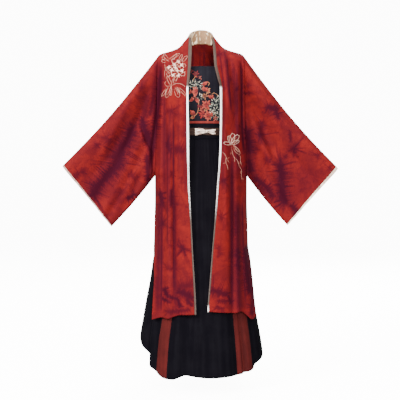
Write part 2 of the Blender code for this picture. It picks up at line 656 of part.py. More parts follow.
def build_belt():
    """The belt over the waistband, and its bow."""
    ring("belt", BELT_TOP_Z, BELT_BOTTOM_Z, 1, BELT_GROW, BELT_CLOTH,
         finish("Belt", BELT_BROWN, 0.6))
    knot_half_width = BOW_KNOT_SIZE[0] + LAYER
    bow_loop("bow_right", BOW_RIGHT_END_X, BOW_KNOT_X - knot_half_width, BOW_RIGHT_HALF_HEIGHT,
             finish("BowRight", CREAM, 0.4))
    bow_loop("bow_left", BOW_LEFT_END_X, BOW_KNOT_X + knot_half_width, BOW_LEFT_HALF_HEIGHT,
             finish("BowLeft", CREAM, 0.4))
    bow_knot(finish("BowKnot", CREAM, 0.4))


for old in list(bpy.data.objects):
    bpy.data.objects.remove(old, do_unlink=True)
bpy.context.scene.collection.children.link(bpy.data.collections.new("HanfuSet"))
build_robe()
build_wrap()
build_skirt()
build_belt()
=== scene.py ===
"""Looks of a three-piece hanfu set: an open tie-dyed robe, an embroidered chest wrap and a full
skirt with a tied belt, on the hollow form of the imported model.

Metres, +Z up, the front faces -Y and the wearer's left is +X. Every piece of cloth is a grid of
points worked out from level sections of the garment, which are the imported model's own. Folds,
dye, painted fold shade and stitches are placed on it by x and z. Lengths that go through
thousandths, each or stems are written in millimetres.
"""

from __future__ import annotations

import logging
import math
from dataclasses import dataclass, field
from enum import Enum
from typing import Any, Callable, Sequence

import bpy
import numpy as np
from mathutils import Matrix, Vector

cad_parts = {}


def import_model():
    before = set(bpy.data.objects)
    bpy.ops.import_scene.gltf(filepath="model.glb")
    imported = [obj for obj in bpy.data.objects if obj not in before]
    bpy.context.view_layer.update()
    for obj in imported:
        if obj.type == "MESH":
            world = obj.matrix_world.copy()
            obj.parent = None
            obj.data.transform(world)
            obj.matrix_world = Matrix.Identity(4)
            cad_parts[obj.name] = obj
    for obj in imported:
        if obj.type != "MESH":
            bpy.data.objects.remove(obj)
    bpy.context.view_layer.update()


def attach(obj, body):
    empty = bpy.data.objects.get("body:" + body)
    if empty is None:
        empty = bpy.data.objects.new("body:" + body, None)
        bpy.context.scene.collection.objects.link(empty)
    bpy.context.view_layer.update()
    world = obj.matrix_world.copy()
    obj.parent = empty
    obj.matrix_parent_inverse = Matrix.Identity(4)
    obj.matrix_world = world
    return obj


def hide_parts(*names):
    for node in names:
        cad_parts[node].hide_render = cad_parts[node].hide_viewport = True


Array = np.ndarray
Color = tuple[float, float, float]
Point = tuple[float, float]
Height = Callable[[Array, Array], Array]

log = logging.getLogger("hanfu")

TAU = 6.2832
NECK_SIDE_Z = 0.048
NECK_BACK_Z = 0.02
SHOULDER_Z = -0.0287
ARMPIT_Z = -0.529
SLIT_Z = -0.82
HEM_Z = -1.118
WAIST_Z = -0.3765
BOW_Z = -0.346


class Side(Enum):
    """The wearer's side of a piece, with the sign of its x."""

    RIGHT = -1.0
    LEFT = 1.0

    @property
    def label(self) -> str:
        """The side's word in the name of a piece."""
        return self.name.lower()


class Face(Enum):
    """Whether a point lies on the front or the back of the garment, with the sign of its y."""

    FRONT = -1.0
    BACK = 1.0

    @property
    def label(self) -> str:
        """The face's column in a table of sections."""
        return self.name.lower()


def ease(share: Array) -> Array:
    """Smooth step: 0 below 0, 1 above 1, and 3t^2 - 2t^3 between."""
    t = np.clip(share, 0.0, 1.0)
    return t * t * (3 - 2 * t)


def between(z: Array, top: float, top_run: float, foot: float, foot_run: float) -> Array:
    """1 between two heights, easing from 0 over a run below the top and above the foot."""
    return ease((top - z) / top_run) * ease((z - foot) / foot_run)


def bell(distance: Array, width: Array | float) -> Array:
    """Gaussian of a distance: 1 in the middle, about a third at the width."""
    return np.exp(-((distance / width) ** 2))


def smooth(at: Array, known: Array, values: Array) -> Array:
    """Cubic curve through known values, whose slope is the harmonic mean of the two beside it.

    Args:
        at: Where to read the curve; it is held level past both ends.
        known: Places of the known values, in any order.
        values: The known values.

    Returns:
        The curve's values at those places.
    """
    order = np.argsort(known)
    known, values = known[order], values[order]
    step = np.diff(known)
    rise = np.diff(values) / step
    both = rise[1:] * rise[:-1]
    inner = np.where(both > 0, 2 * both / (rise[1:] + rise[:-1] + 1e-12), 0.0)
    slope = np.concatenate([rise[:1], inner, rise[-1:]])
    at = np.clip(at, known[0], known[-1])
    i = np.clip(np.searchsorted(known, at) - 1, 0, len(step) - 1)
    t = (at - known[i]) / step[i]
    start = (1 + 2 * t) * (1 - t) ** 2 * values[i] + t * (1 - t) ** 2 * slope[i] * step[i]
    end = t * t * (3 - 2 * t) * values[i + 1] + t * t * (t - 1) * slope[i + 1] * step[i]
    return start + end


def thousandths(given: Any) -> Any:
    """A number given in thousandths as a plain one, and nested tuples of them alike."""
    return tuple(map(thousandths, given)) if isinstance(given, tuple) else round(given / 1000, 7)


def each(kind: Callable[..., Any], *rows: tuple[Any, ...]) -> tuple[Any, ...]:
    """One object of a kind from each row of its fields, which are given in thousandths.

    A length is then in millimetres, and a strength of 1 is 1000.
    """
    return tuple(kind(*thousandths(row)) for row in rows)


def spread(share: Array, stations: Sequence[float]) -> Array:
    """Reads a list of stations evenly: share 0 is the first and share 1 the last."""
    return np.interp(share, np.linspace(0, 1, len(stations)), stations)


@dataclass(frozen=True)
class Table:
    """A short table with named columns; the first column is what the others are read against."""

    columns: tuple[str, ...]
    rows: tuple[tuple[float, ...], ...]

    def read(self, name: str, at: Array) -> Array:
        """A column's smooth curve at any places of the first column."""
        data = np.array(self.rows, float)
        return smooth(np.asarray(at, float), data[:, 0], data[:, self.columns.index(name)])


@dataclass(frozen=True)
class Nearest:
    """Where a path on the cloth passes closest to each point."""

    distance: Array
    across: Array
    share: Array
    foot_x: Array
    foot_z: Array


def nearest(path: Sequence[Point], x: Array, z: Array) -> Nearest:
    """Measures points against a path of straight stretches, or against a single spot.

    For each stretch the point is dropped on it, held within its ends, and the closest of the
    stretches is kept. The sign of the cross product tells the side.

    Args:
        path: The path's points, in x and z.
        x: The points' x.
        z: The points' z.

    Returns:
        The distance, the distance signed by side, the share along the path and its closest point.
    """
    ends = list(zip(path, path[1:])) or [(path[0], path[0])]
    lengths = [math.dist(a, b) for a, b in ends]
    total = max(sum(lengths), 1e-9)
    best = [np.full(x.shape, np.inf)] + [np.zeros(x.shape) for _ in range(4)]
    passed = 0.0
    for (start, stop), length in zip(ends, lengths):
        run, rise = stop[0] - start[0], stop[1] - start[1]
        along = ((x - start[0]) * run + (z - start[1]) * rise) / max(length, 1e-9) ** 2
        along = np.clip(along, 0, 1)
        foot_x, foot_z = start[0] + run * along, start[1] + rise * along
        distance = np.hypot(x - foot_x, z - foot_z)
        side = np.where((x - start[0]) * rise - (z - start[1]) * run < 0, -1.0, 1.0)
        found = (distance, distance * side, (passed + along * length) / total, foot_x, foot_z)
        closer = distance < best[0]
        best = [np.where(closer, new, old) for new, old in zip(found, best)]
        passed += length
    return Nearest(*best)


@dataclass(frozen=True)
class Crease:
    """A soft ridge, or a trough if its depth is negative, along a path on the cloth.

    The two widths let one flank be steeper, the second one being the flank on the wearer's left
    of a path that runs down.
    """

    path: tuple[Point, ...]
    depth: float
    width: float
    other_width: float | None = None

    def at(self, x: Array, z: Array) -> Array:
        """How far the crease moves the cloth out: a bell across it, eased in and out along it."""
        near = nearest(self.path, x, z)
        width = np.where(near.across > 0, self.width, self.other_width or self.width)
        fade = ease(near.share * 5) * ease((1 - near.share) * 5)
        return self.depth * fade * bell(near.distance, width)


def creased(creases: Sequence[Crease], x: Array, z: Array) -> Array:
    """The sum of several creases."""
    return sum((crease.at(x, z) for crease in creases), np.zeros_like(x))


@dataclass(frozen=True)
class Fold:
    """A long drape of a robe panel, from near the shoulder to the hem, deepest at the hem."""

    top_x: float
    hem_x: float
    top_z: float
    depth: float
    width: float

    def at(self, x: Array, z: Array) -> Array:
        """How far the fold moves the cloth outwards: a bell across, easing in downwards."""
        along = np.clip((self.top_z - z) / (self.top_z + 1.12), 0, 1)
        middle = self.top_x + (self.hem_x - self.top_x) * along
        return self.depth * ease(along * 1.6) * bell(x - middle, self.width * (0.7 + 0.3 * along))


@dataclass(frozen=True)
class DarkMark:
    """A dark mark along a path or round a spot, how far it reaches and how dark it is: dye as a stain, and
    as a veil painted fold shade that is partly dye.
    """

    path: tuple[Point, ...]
    reach: float
    strength: float


@dataclass(frozen=True)
class DyeAndShadeWork:
    """The dye and the painted shade on one face of the robe: feathered stains, and soft veils of painted
    shade, partly dye, that follow the folds.
    """

    stains: tuple[DarkMark, ...]
    dye_and_shade_veils: tuple[DarkMark, ...]

    def attributes(self, x: Array, z: Array) -> dict[str, Array]:
        """Works out what the finish of the dye and the painted shade reads at each point.

        The strongest stain wins at each point. Its distance is measured in its own reach, and
        its grain is the closest point of its path moved 12 mm along the way out, so a noise read
        there runs in rays. Veils, painted shade along folds and seams that is partly dye, add up as
        the share of the colour that each one leaves.

        Args:
            x: The points' x.
            z: The points' z.

        Returns:
            Named vertex attributes: stain_far, stain_dark, stain_grain, and the veil of painted fold shade,
                partly dye.
        """
        best = np.full(x.shape, -np.inf)
        far, dark = np.full(x.shape, 3.0), np.zeros_like(x)
        grain = np.zeros((*x.shape, 3))
        for index, stain in enumerate(self.stains):
            near = nearest(stain.path, x, z)
            share = near.distance / stain.reach
            value = stain.strength * (1.6 - share)
            way = np.maximum(near.distance, 1e-5)
            ray_x = near.foot_x + 0.012 * (x - near.foot_x) / way
            ray_z = near.foot_z + 0.012 * (z - near.foot_z) / way
            rays = np.stack([ray_x, np.full_like(x, 0.37 * index), ray_z], axis=-1)
            wins = value > best
            best = np.where(wins, value, best)
            far, dark = np.where(wins, share, far), np.where(wins, stain.strength, dark)
            grain = np.where(wins[..., None], rays, grain)
        clear = np.ones_like(x)
        for dye_and_shade_veil in self.dye_and_shade_veils:
            near = nearest(dye_and_shade_veil.path, x, z)
            ends = ease(near.share * 6) * ease((1 - near.share) * 6) if len(dye_and_shade_veil.path) > 1 else 1
            clear = clear * (1 - dye_and_shade_veil.strength * bell(near.distance, dye_and_shade_veil.reach) * ends)
        return {
            "stain_far": np.minimum(far, 3.0), "stain_dark": dark, "stain_grain": grain,
            "dye_and_shade_veil": 1 - clear,
        }


@dataclass
class Grid:
    """A surface of points in rows and columns, with its flat coordinates in metres.

    A grid that goes round joins its last column to its first.
    """

    points: Array
    flat: Array
    round: bool = False
    attributes: dict[str, Array] = field(default_factory=dict)


def parameters(columns: int, rows: int, around: bool = False) -> tuple[Array, Array]:
    """The two parameters of a grid, each from 0 to 1; a grid that goes round stops before 1."""
    across = np.arange(columns) / columns if around else np.linspace(0, 1, columns)
    return tuple(np.meshgrid(across, np.linspace(0, 1, rows)))


def quads(rows: int, columns: int, around: bool) -> Array:
    """The corner numbers of each quad of a grid, row by row."""
    row, column = np.meshgrid(np.arange(rows - 1), np.arange(columns if around else columns - 1))
    row, column = row.T.ravel(), column.T.ravel()
    after = (column + 1) % columns
    corners = (row * columns + column, row * columns + after)
    return np.stack([*corners, corners[1] + columns, corners[0] + columns], axis=1)


def make_mesh(name: str, points: Array, faces: Array,
              attributes: dict[str, Array]) -> bpy.types.Object:
    """Makes a smooth mesh object with vertex attributes.

    Args:
        name: The object's name.
        points: One row of x, y and z for each vertex.
        faces: The vertex numbers of each face.
        attributes: Values for each vertex: single ones, vectors of three or colours of four.

    Returns:
        The object, linked to the scene.
    """
    mesh = bpy.data.meshes.new(name)
    mesh.from_pydata(points.tolist(), [], faces.tolist())
    kinds = {1: ("FLOAT", "value"), 3: ("FLOAT_VECTOR", "vector"), 4: ("FLOAT_COLOR", "color")}
    for label, values in attributes.items():
        values = values.reshape(len(points), -1)
        kind, slot = kinds[values.shape[1]]
        layer = mesh.attributes.new(label, kind, "POINT")
        layer.data.foreach_set(slot, values.astype(np.float32).ravel())
    mesh.shade_smooth()
    piece = bpy.data.objects.new(name, mesh)
    bpy.context.scene.collection.objects.link(piece)
    return piece


def faces_inwards(points: Array, faces: Array, closed: bool) -> bool:
    """Whether faces look towards their own middle, or an open panel's towards the z axis.

    Each face's normal, which is the cross product of its diagonals, is set against the way out.
    """
    corners = points[faces]
    normals = np.cross(corners[:, 2] - corners[:, 0], corners[:, 3] - corners[:, 1])
    middles = corners.mean(axis=1)
    out = middles - middles.mean(axis=0) if closed else middles * np.array([1.0, 1.0, 0.0])
    return bool((normals * out).sum() < 0)


@dataclass(frozen=True)
class Cut:
    """The flat shape that a piece was cut to: its width and length, and the share it fills."""

    width: float
    length: float
    fills: float = 1.0
    held: str = "hung"
    rests_on: tuple[str, ...] = ()


def sew(name: str, grid: Grid, wall: float, finish: "Finish",
        closed: bool = False) -> bpy.types.Object:
    """Makes one piece of cloth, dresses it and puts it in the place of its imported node.

    Args:
        name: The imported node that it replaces; the piece's own name starts with it.
        grid: Its outer surface.
        wall: Its thickness, which goes inwards.
        finish: What it is made of.
        closed: Whether it closes round itself, so that outwards is away from its own middle.

    Returns:
        The piece.
    """
    rows, columns = grid.points.shape[:2]
    faces = quads(rows, columns, grid.round)
    points = grid.points.reshape(-1, 3)
    turned = faces_inwards(points, faces, closed)
    faces = faces[:, ::-1] if turned else faces
    piece = make_mesh(name + "_cloth", points, faces, grid.attributes)
    flat = np.concatenate([grid.flat, grid.flat[:, :1]], axis=1) if grid.round else grid.flat
    if grid.round:
        flat[:, -1, 0] = 2 * flat[:, -2, 0] - flat[:, -3, 0]
    low, high = flat[:-1], flat[1:]
    corners = np.stack([low[:, :-1], low[:, 1:], high[:, 1:], high[:, :-1]], axis=2)
    corners = corners[:, :, ::-1] if turned else corners
    layer = piece.data.uv_layers.new(name="flat")
    layer.data.foreach_set("uv", corners.astype(np.float32).ravel())
    shell = piece.modifiers.new("Wall", "SOLIDIFY")
    shell.thickness = wall
    shell.offset = -1.0
    piece.data.materials.append(finish.material())
    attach(piece, "root")
    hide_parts(name)
    return piece


def math_node(operation: str, number_first: bool = False) -> Callable[["Value", Any], "Value"]:
    """A method of a Value that adds one Math node to it and another value or number."""

    def method(value: "Value", other: Any) -> "Value":
        """The operation's result."""
        first, second = (other, value) if number_first else (value, other)
        return value.paint.value("ShaderNodeMath", {"operation": operation}, {0: first, 1: second})

    return method


class Value:
    """A shader socket that Python's arithmetic adds Math nodes to; over takes the greater."""

    def __init__(self, paint: "Paint", socket: Any) -> None:
        """Keeps the socket and the material that it belongs to."""
        self.paint = paint
        self.socket = socket

    __add__, __radd__ = math_node("ADD"), math_node("ADD", number_first=True)
    __sub__, __rsub__ = math_node("SUBTRACT"), math_node("SUBTRACT", number_first=True)
    __mul__, __rmul__ = math_node("MULTIPLY"), math_node("MULTIPLY", number_first=True)
    over = math_node("MAXIMUM")


class Paint:
    """One material's nodes, and the few ways in which they are added."""

    def __init__(self, name: str, sockets: dict[str, Any]) -> None:
        """Starts a Principled material with constants on the shader's own sockets."""
        self.material = bpy.data.materials.new(name)
        self.material.use_nodes = True
        self.tree = self.material.node_tree
        self.shader = self.tree.nodes["Principled BSDF"]
        for label, constant in sockets.items():
            self.shader.inputs[label].default_value = constant

    def node(self, kind: str, settings: dict[str, Any], sockets: dict[Any, Any]) -> Any:
        """Adds a node, sets its settings and then gives its sockets values or links."""
        node = self.tree.nodes.new(kind)
        for label, setting in settings.items():
            setattr(node, label, setting)
        for label, given in sockets.items():
            if isinstance(given, Value):
                self.tree.links.new(given.socket, node.inputs[label])
            else:
                node.inputs[label].default_value = given
        return node

    def value(self, kind: str, settings: dict[str, Any], sockets: dict[Any, Any],
              output: Any = 0) -> Value:
        """Adds a node and gives one of its outputs."""
        return Value(self, self.node(kind, settings, sockets).outputs[output])

    def attribute(self, name: str, output: str = "Fac") -> Value:
        """A vertex attribute of the piece."""
        return self.value("ShaderNodeAttribute", {"attribute_name": name}, {}, output)

    def place(self) -> Value:
        """The place on the piece, in metres."""
        return self.value("ShaderNodeTexCoord", {}, {}, "Object")

    def flat(self, across: float = 1.0, along: float = 1.0) -> Value:
        """The piece's flat coordinates in metres, stretched as given."""
        where = self.value("ShaderNodeUVMap", {"uv_map": "flat"}, {})
        return self.value("ShaderNodeVectorMath", {"operation": "MULTIPLY"},
                          {0: where, 1: (across, along, 1.0)})

    def noise(self, where: Value, scale: float, detail: float = 2.0, rough: float = 0.5,
              warp: float = 0.0) -> Value:
        """Noise from 0 to 1, about 0.5 in the middle."""
        sockets = {"Vector": where, "Scale": scale, "Detail": detail, "Roughness": rough,
                   "Distortion": warp}
        return self.value("ShaderNodeTexNoise", {}, sockets, 0)

    def bands(self, where: Value, scale: float, direction: str, warp: float = 0.0) -> Value:
        """Sine bands from 0 to 1 along one axis."""
        return self.value("ShaderNodeTexWave", {"bands_direction": direction},
                          {"Vector": where, "Scale": scale, "Distortion": warp}, 1)

    def step(self, value: Value, low: float, high: float) -> Value:
        """Smooth step of a value from 0 at low to 1 at high."""
        return self.value("ShaderNodeMapRange", {"interpolation_type": "SMOOTHSTEP"},
                          {"Value": value, "From Min": low, "From Max": high})

    def blend(self, factor: Any, first: Any, second: Any) -> Value:
        """Mixes two colours."""
        first, second = (c if isinstance(c, Value) else (*c, 1.0) for c in (first, second))
        return self.value("ShaderNodeMix", {"data_type": "RGBA"},
                          {0: factor, 6: first, 7: second}, 2)

    def feed(self, socket: str, value: Value) -> None:
        """Links a value or colour to the shader."""
        self.tree.links.new(value.socket, self.shader.inputs[socket])

    def relief(self, height: Value, depth: float, strength: float = 1.0) -> None:
        """Feeds the shader's Normal from a Bump node whose height runs over a depth in metres."""
        self.feed("Normal", self.value("ShaderNodeBump", {}, {
            "Height": height, "Distance": depth, "Strength": strength}))

    def weave(self, threads: float) -> Value:
        """A plain weave: warp and weft bands, so many threads to the metre, crossing."""
        where = self.flat()
        bands = threads / TAU
        return self.bands(where, bands, "X", 0.4) * self.bands(where, bands, "Y", 0.4)

    def crepe(self, crinkled: float, threads: float = 1600.0) -> None:
        """The relief of crepe: a share of fine crinkles, and the weave for the rest."""
        crinkles = self.noise(self.flat(1.0, 0.45), 900.0, 3.0, 0.6)
        self.relief(crinkles * crinkled + self.weave(threads) * (1 - crinkled), 0.0002, 0.35)


@dataclass(frozen=True)
class Finish:
    """What a piece is made of; each kind paints its own material, once."""

    name: str

    def material(self) -> bpy.types.Material:
        """The finish's material, made at its first use."""
        return bpy.data.materials.get(self.name) or self.paint()

    def paint(self) -> bpy.types.Material:
        """Makes the material."""
        raise NotImplementedError


@dataclass(frozen=True)
class TieDyedCrepe(Finish):
    """Matt red crepe with feathered purple dye, and painted shade along its folds and seams."""

    red: Color = (0.133, 0.0076, 0.0066)
    deep_red: Color = (0.086, 0.0056, 0.0066)
    crimson: Color = (0.06, 0.004, 0.0068)
    wine: Color = (0.04, 0.0027, 0.0064)
    purple: Color = (0.0265, 0.0016, 0.0063)

    def paint(self) -> bpy.types.Material:
        """Reads the attributes of dye and painted shade, feathers the stains along their grain and mixes
        colours.
        """
        paint = Paint(self.name, {"Roughness": 0.8, "Specular IOR Level": 0.03})
        place = paint.place()
        grain = paint.attribute("stain_grain", "Vector")
        rays = paint.step(paint.noise(grain, 110.0, 2.0, 0.6), 0.36, 0.62)
        hairs = paint.step(paint.noise(grain, 280.0, 2.0, 0.6), 0.38, 0.62)
        fray = paint.noise(place, 85.0, 5.0, 0.72, 0.8) - 0.5
        far = paint.attribute("stain_far")
        edge = far * (0.4 + 0.85 * rays + 0.55 * hairs) + fray * 1.7
        dark = paint.attribute("stain_dark")
        core = (1.0 - paint.step(edge, 0.22, 1.05)) * dark
        halo = (1.0 - paint.step(edge, 0.6, 2.2)) * dark * 0.65
        mottle = paint.noise(place, 9.0, 5.0, 0.62, 0.9)
        cloud = paint.noise(place, 24.0, 6.0, 0.72, 0.8)
        specks = paint.step(paint.noise(place, 40.0, 6.0, 0.8, 1.2), 0.56, 0.7) * 0.62
        ridge = paint.noise(place, 30.0, 5.0, 0.7, 1.0) - 0.5
        veins = (1.0 - paint.step(ridge * ridge, 0.0, 0.001)) * (0.18 + 0.55 * halo)
        # Painted shade, partly dye: the veils darken the cloth along folds, creases and seams.
        dye_and_shade_veil = paint.attribute("dye_and_shade_veil") * (0.6 + 0.8 * cloud)
        ground = paint.blend(paint.step(mottle, 0.38, 0.62), self.red, self.deep_red)
        ground = paint.blend(paint.step(cloud, 0.46, 0.66) * 0.65, ground, self.crimson)
        ground = paint.blend((specks + halo * 0.5).over(dye_and_shade_veil * 0.9), ground, self.crimson)
        ground = paint.blend(veins, ground, self.wine)
        washed_and_shaded = paint.blend(halo.over(dye_and_shade_veil * dye_and_shade_veil), ground, self.wine)
        dyed = paint.blend(core.over(dye_and_shade_veil * dye_and_shade_veil * dye_and_shade_veil * 0.8), washed_and_shaded, self.purple)
        paint.feed("Base Color", dyed)
        paint.crepe(0.6)
        return paint.material


@dataclass(frozen=True)
class PlainCrepe(Finish):
    """Plain matt crepe in one colour, a little lighter where it has rubbed."""

    color: Color
    rubbed: Color
    shine: float = 0.02
    roughness: float = 0.72

    def paint(self) -> bpy.types.Material:
        """Mixes the two colours by soft upright streaks and gives the cloth its weave."""
        paint = Paint(self.name, {"Roughness": self.roughness, "Specular IOR Level": self.shine})
        streaks = paint.noise(paint.flat(60.0, 3.0), 1.0, 3.0, 0.55)
        cloud = paint.noise(paint.place(), 14.0, 4.0, 0.6)
        worn = paint.step(streaks * 0.55 + cloud * 0.45, 0.38, 0.68)
        paint.feed("Base Color", paint.blend(worn, self.color, self.rubbed))
        paint.crepe(0.5)
        return paint.material


@dataclass(frozen=True)
class Brocade(Finish):
    """Champagne brocade with cream clouds, woven in metallic thread.

    A piece says with its attribute "edge" where it is brown and taupe instead, with "pale" where
    it is plain cream, and with "mixed" where cream lies over the rest in specks.
    """

    champagne: Color = (0.37, 0.21, 0.11)
    tan: Color = (0.16, 0.085, 0.042)
    cream: Color = (0.93, 0.76, 0.52)
    pale: Color = (0.97, 0.94, 0.91)
    brown: Color = (0.036, 0.021, 0.016)
    taupe: Color = (0.06, 0.037, 0.027)

    def paint(self) -> bpy.types.Material:
        """Clouds come from stretched, warped noise, and grains and specks from finer ones."""
        paint = Paint(self.name, {"Specular IOR Level": 0.15})
        clouds = paint.noise(paint.flat(1.0, 0.36), 62.0, 3.0, 0.55, 1.6)
        cloudy = paint.step(clouds, 0.53, 0.6)
        grains = paint.noise(paint.flat(), 420.0, 3.0, 0.7)
        body = paint.blend(paint.step(grains, 0.42, 0.62), self.tan, self.champagne)
        figured = paint.blend(cloudy, body, self.cream)
        edge = paint.blend(paint.step(grains, 0.35, 0.75), self.brown, self.taupe)
        banded = paint.blend(paint.attribute("edge"), figured, edge)
        specks = paint.step(paint.noise(paint.flat(), 260.0, 3.0, 0.7), 0.44, 0.56)
        speckled = paint.attribute("mixed") * specks
        white = paint.attribute("pale").over(speckled)
        paint.feed("Base Color", paint.blend(white, banded, self.pale))
        paint.feed("Roughness", 0.62 - cloudy * 0.22)
        paint.relief(cloudy * 0.6 + grains * 0.4, 0.0003, 0.5)
        return paint.material


@dataclass(frozen=True)
class Satin(Finish):
    """Smooth ribbon with a soft lengthwise gloss, and streaks of a second colour: painted pleat shade on
    the bow, painted sheen on the belt.
    """

    color: Color
    streak_shade_and_sheen: Color
    shine: float
    roughness: float = 0.36

    def paint(self) -> bpy.types.Material:
        """Fine lengthwise threads vary the relief; stretched streaks paint the second colour in, as shade
        on the bow and sheen on the belt.
        """
        paint = Paint(self.name, {"Roughness": self.roughness, "Specular IOR Level": self.shine})
        threads = paint.noise(paint.flat(0.06, 1.0), 1400.0, 2.0, 0.5)
        cloud = paint.noise(paint.flat(0.22, 1.0), 230.0, 3.0, 0.6)
        # Painted shade: darker streaks stand in for the bow's pleat shading; on the belt the lighter
        # streaks are painted sheen.
        shaded = paint.blend(paint.step(cloud, 0.42, 0.56), self.color, self.streak_shade_and_sheen)
        paint.feed("Base Color", shaded)
        paint.relief(threads, 0.00015, 0.4)
        return paint.material


@dataclass(frozen=True)
class Thread(Finish):
    """Embroidery floss in the colour of the piece's attribute "tint"."""

    def paint(self) -> bpy.types.Material:
        """Stitches are fine bands along the attribute "stitch", which counts them."""
        paint = Paint(self.name, {"Roughness": 0.45, "Specular IOR Level": 0.1})
        tint = paint.attribute("tint", "Color")
        count = paint.attribute("stitch")
        wave = paint.value("ShaderNodeMath", {"operation": "SINE"}, {0: count * TAU})
        lit = wave * 0.5 + 0.5
        shaded = paint.value("ShaderNodeVectorMath", {"operation": "SCALE"},
                             {0: tint, "Scale": lit * 0.22 + 0.78})
        paint.feed("Base Color", shaded)
        paint.relief(lit, 0.0003, 0.6)
        return paint.material


CREPE = TieDyedCrepe("tie_dyed_crepe")
BLACK_CREPE = PlainCrepe("black_crepe", (0.0024, 0.002, 0.0032), (0.0042, 0.0037, 0.0052), 0.01)
WRAP_BLACK = PlainCrepe("chest_crepe", (0.005, 0.0043, 0.0066), (0.0085, 0.0078, 0.011), 0.02)
GORE_CREPE = PlainCrepe("gore_crepe", (0.036, 0.0056, 0.0056), (0.06, 0.0082, 0.0076))
WRAP_RED = PlainCrepe("red_edging", (0.09, 0.011, 0.0095), (0.15, 0.023, 0.019))
BINDING = PlainCrepe("cream_binding", (0.3, 0.17, 0.115), (0.9, 0.74, 0.58), 0.1)
# Painted shade: a darker copy of the cream binding, for the right cuff.
SHADED_BINDING = PlainCrepe("shaded_binding", (0.2, 0.09, 0.07), (0.62, 0.44, 0.36), 0.1)
BROCADE = Brocade("champagne_brocade")
# The second colour of each ribbon is painted light: sheen on the belt, pleat shade on the bow.
BELT_SATIN = Satin("brown_ribbon", (0.015, 0.007, 0.0055), (0.03, 0.016, 0.012), 0.05, 0.45)
BOW_SATIN = Satin("cream_satin", (0.93, 0.77, 0.63), (0.17, 0.1, 0.075), 0.3)
FLOSS = Thread("embroidery_floss")


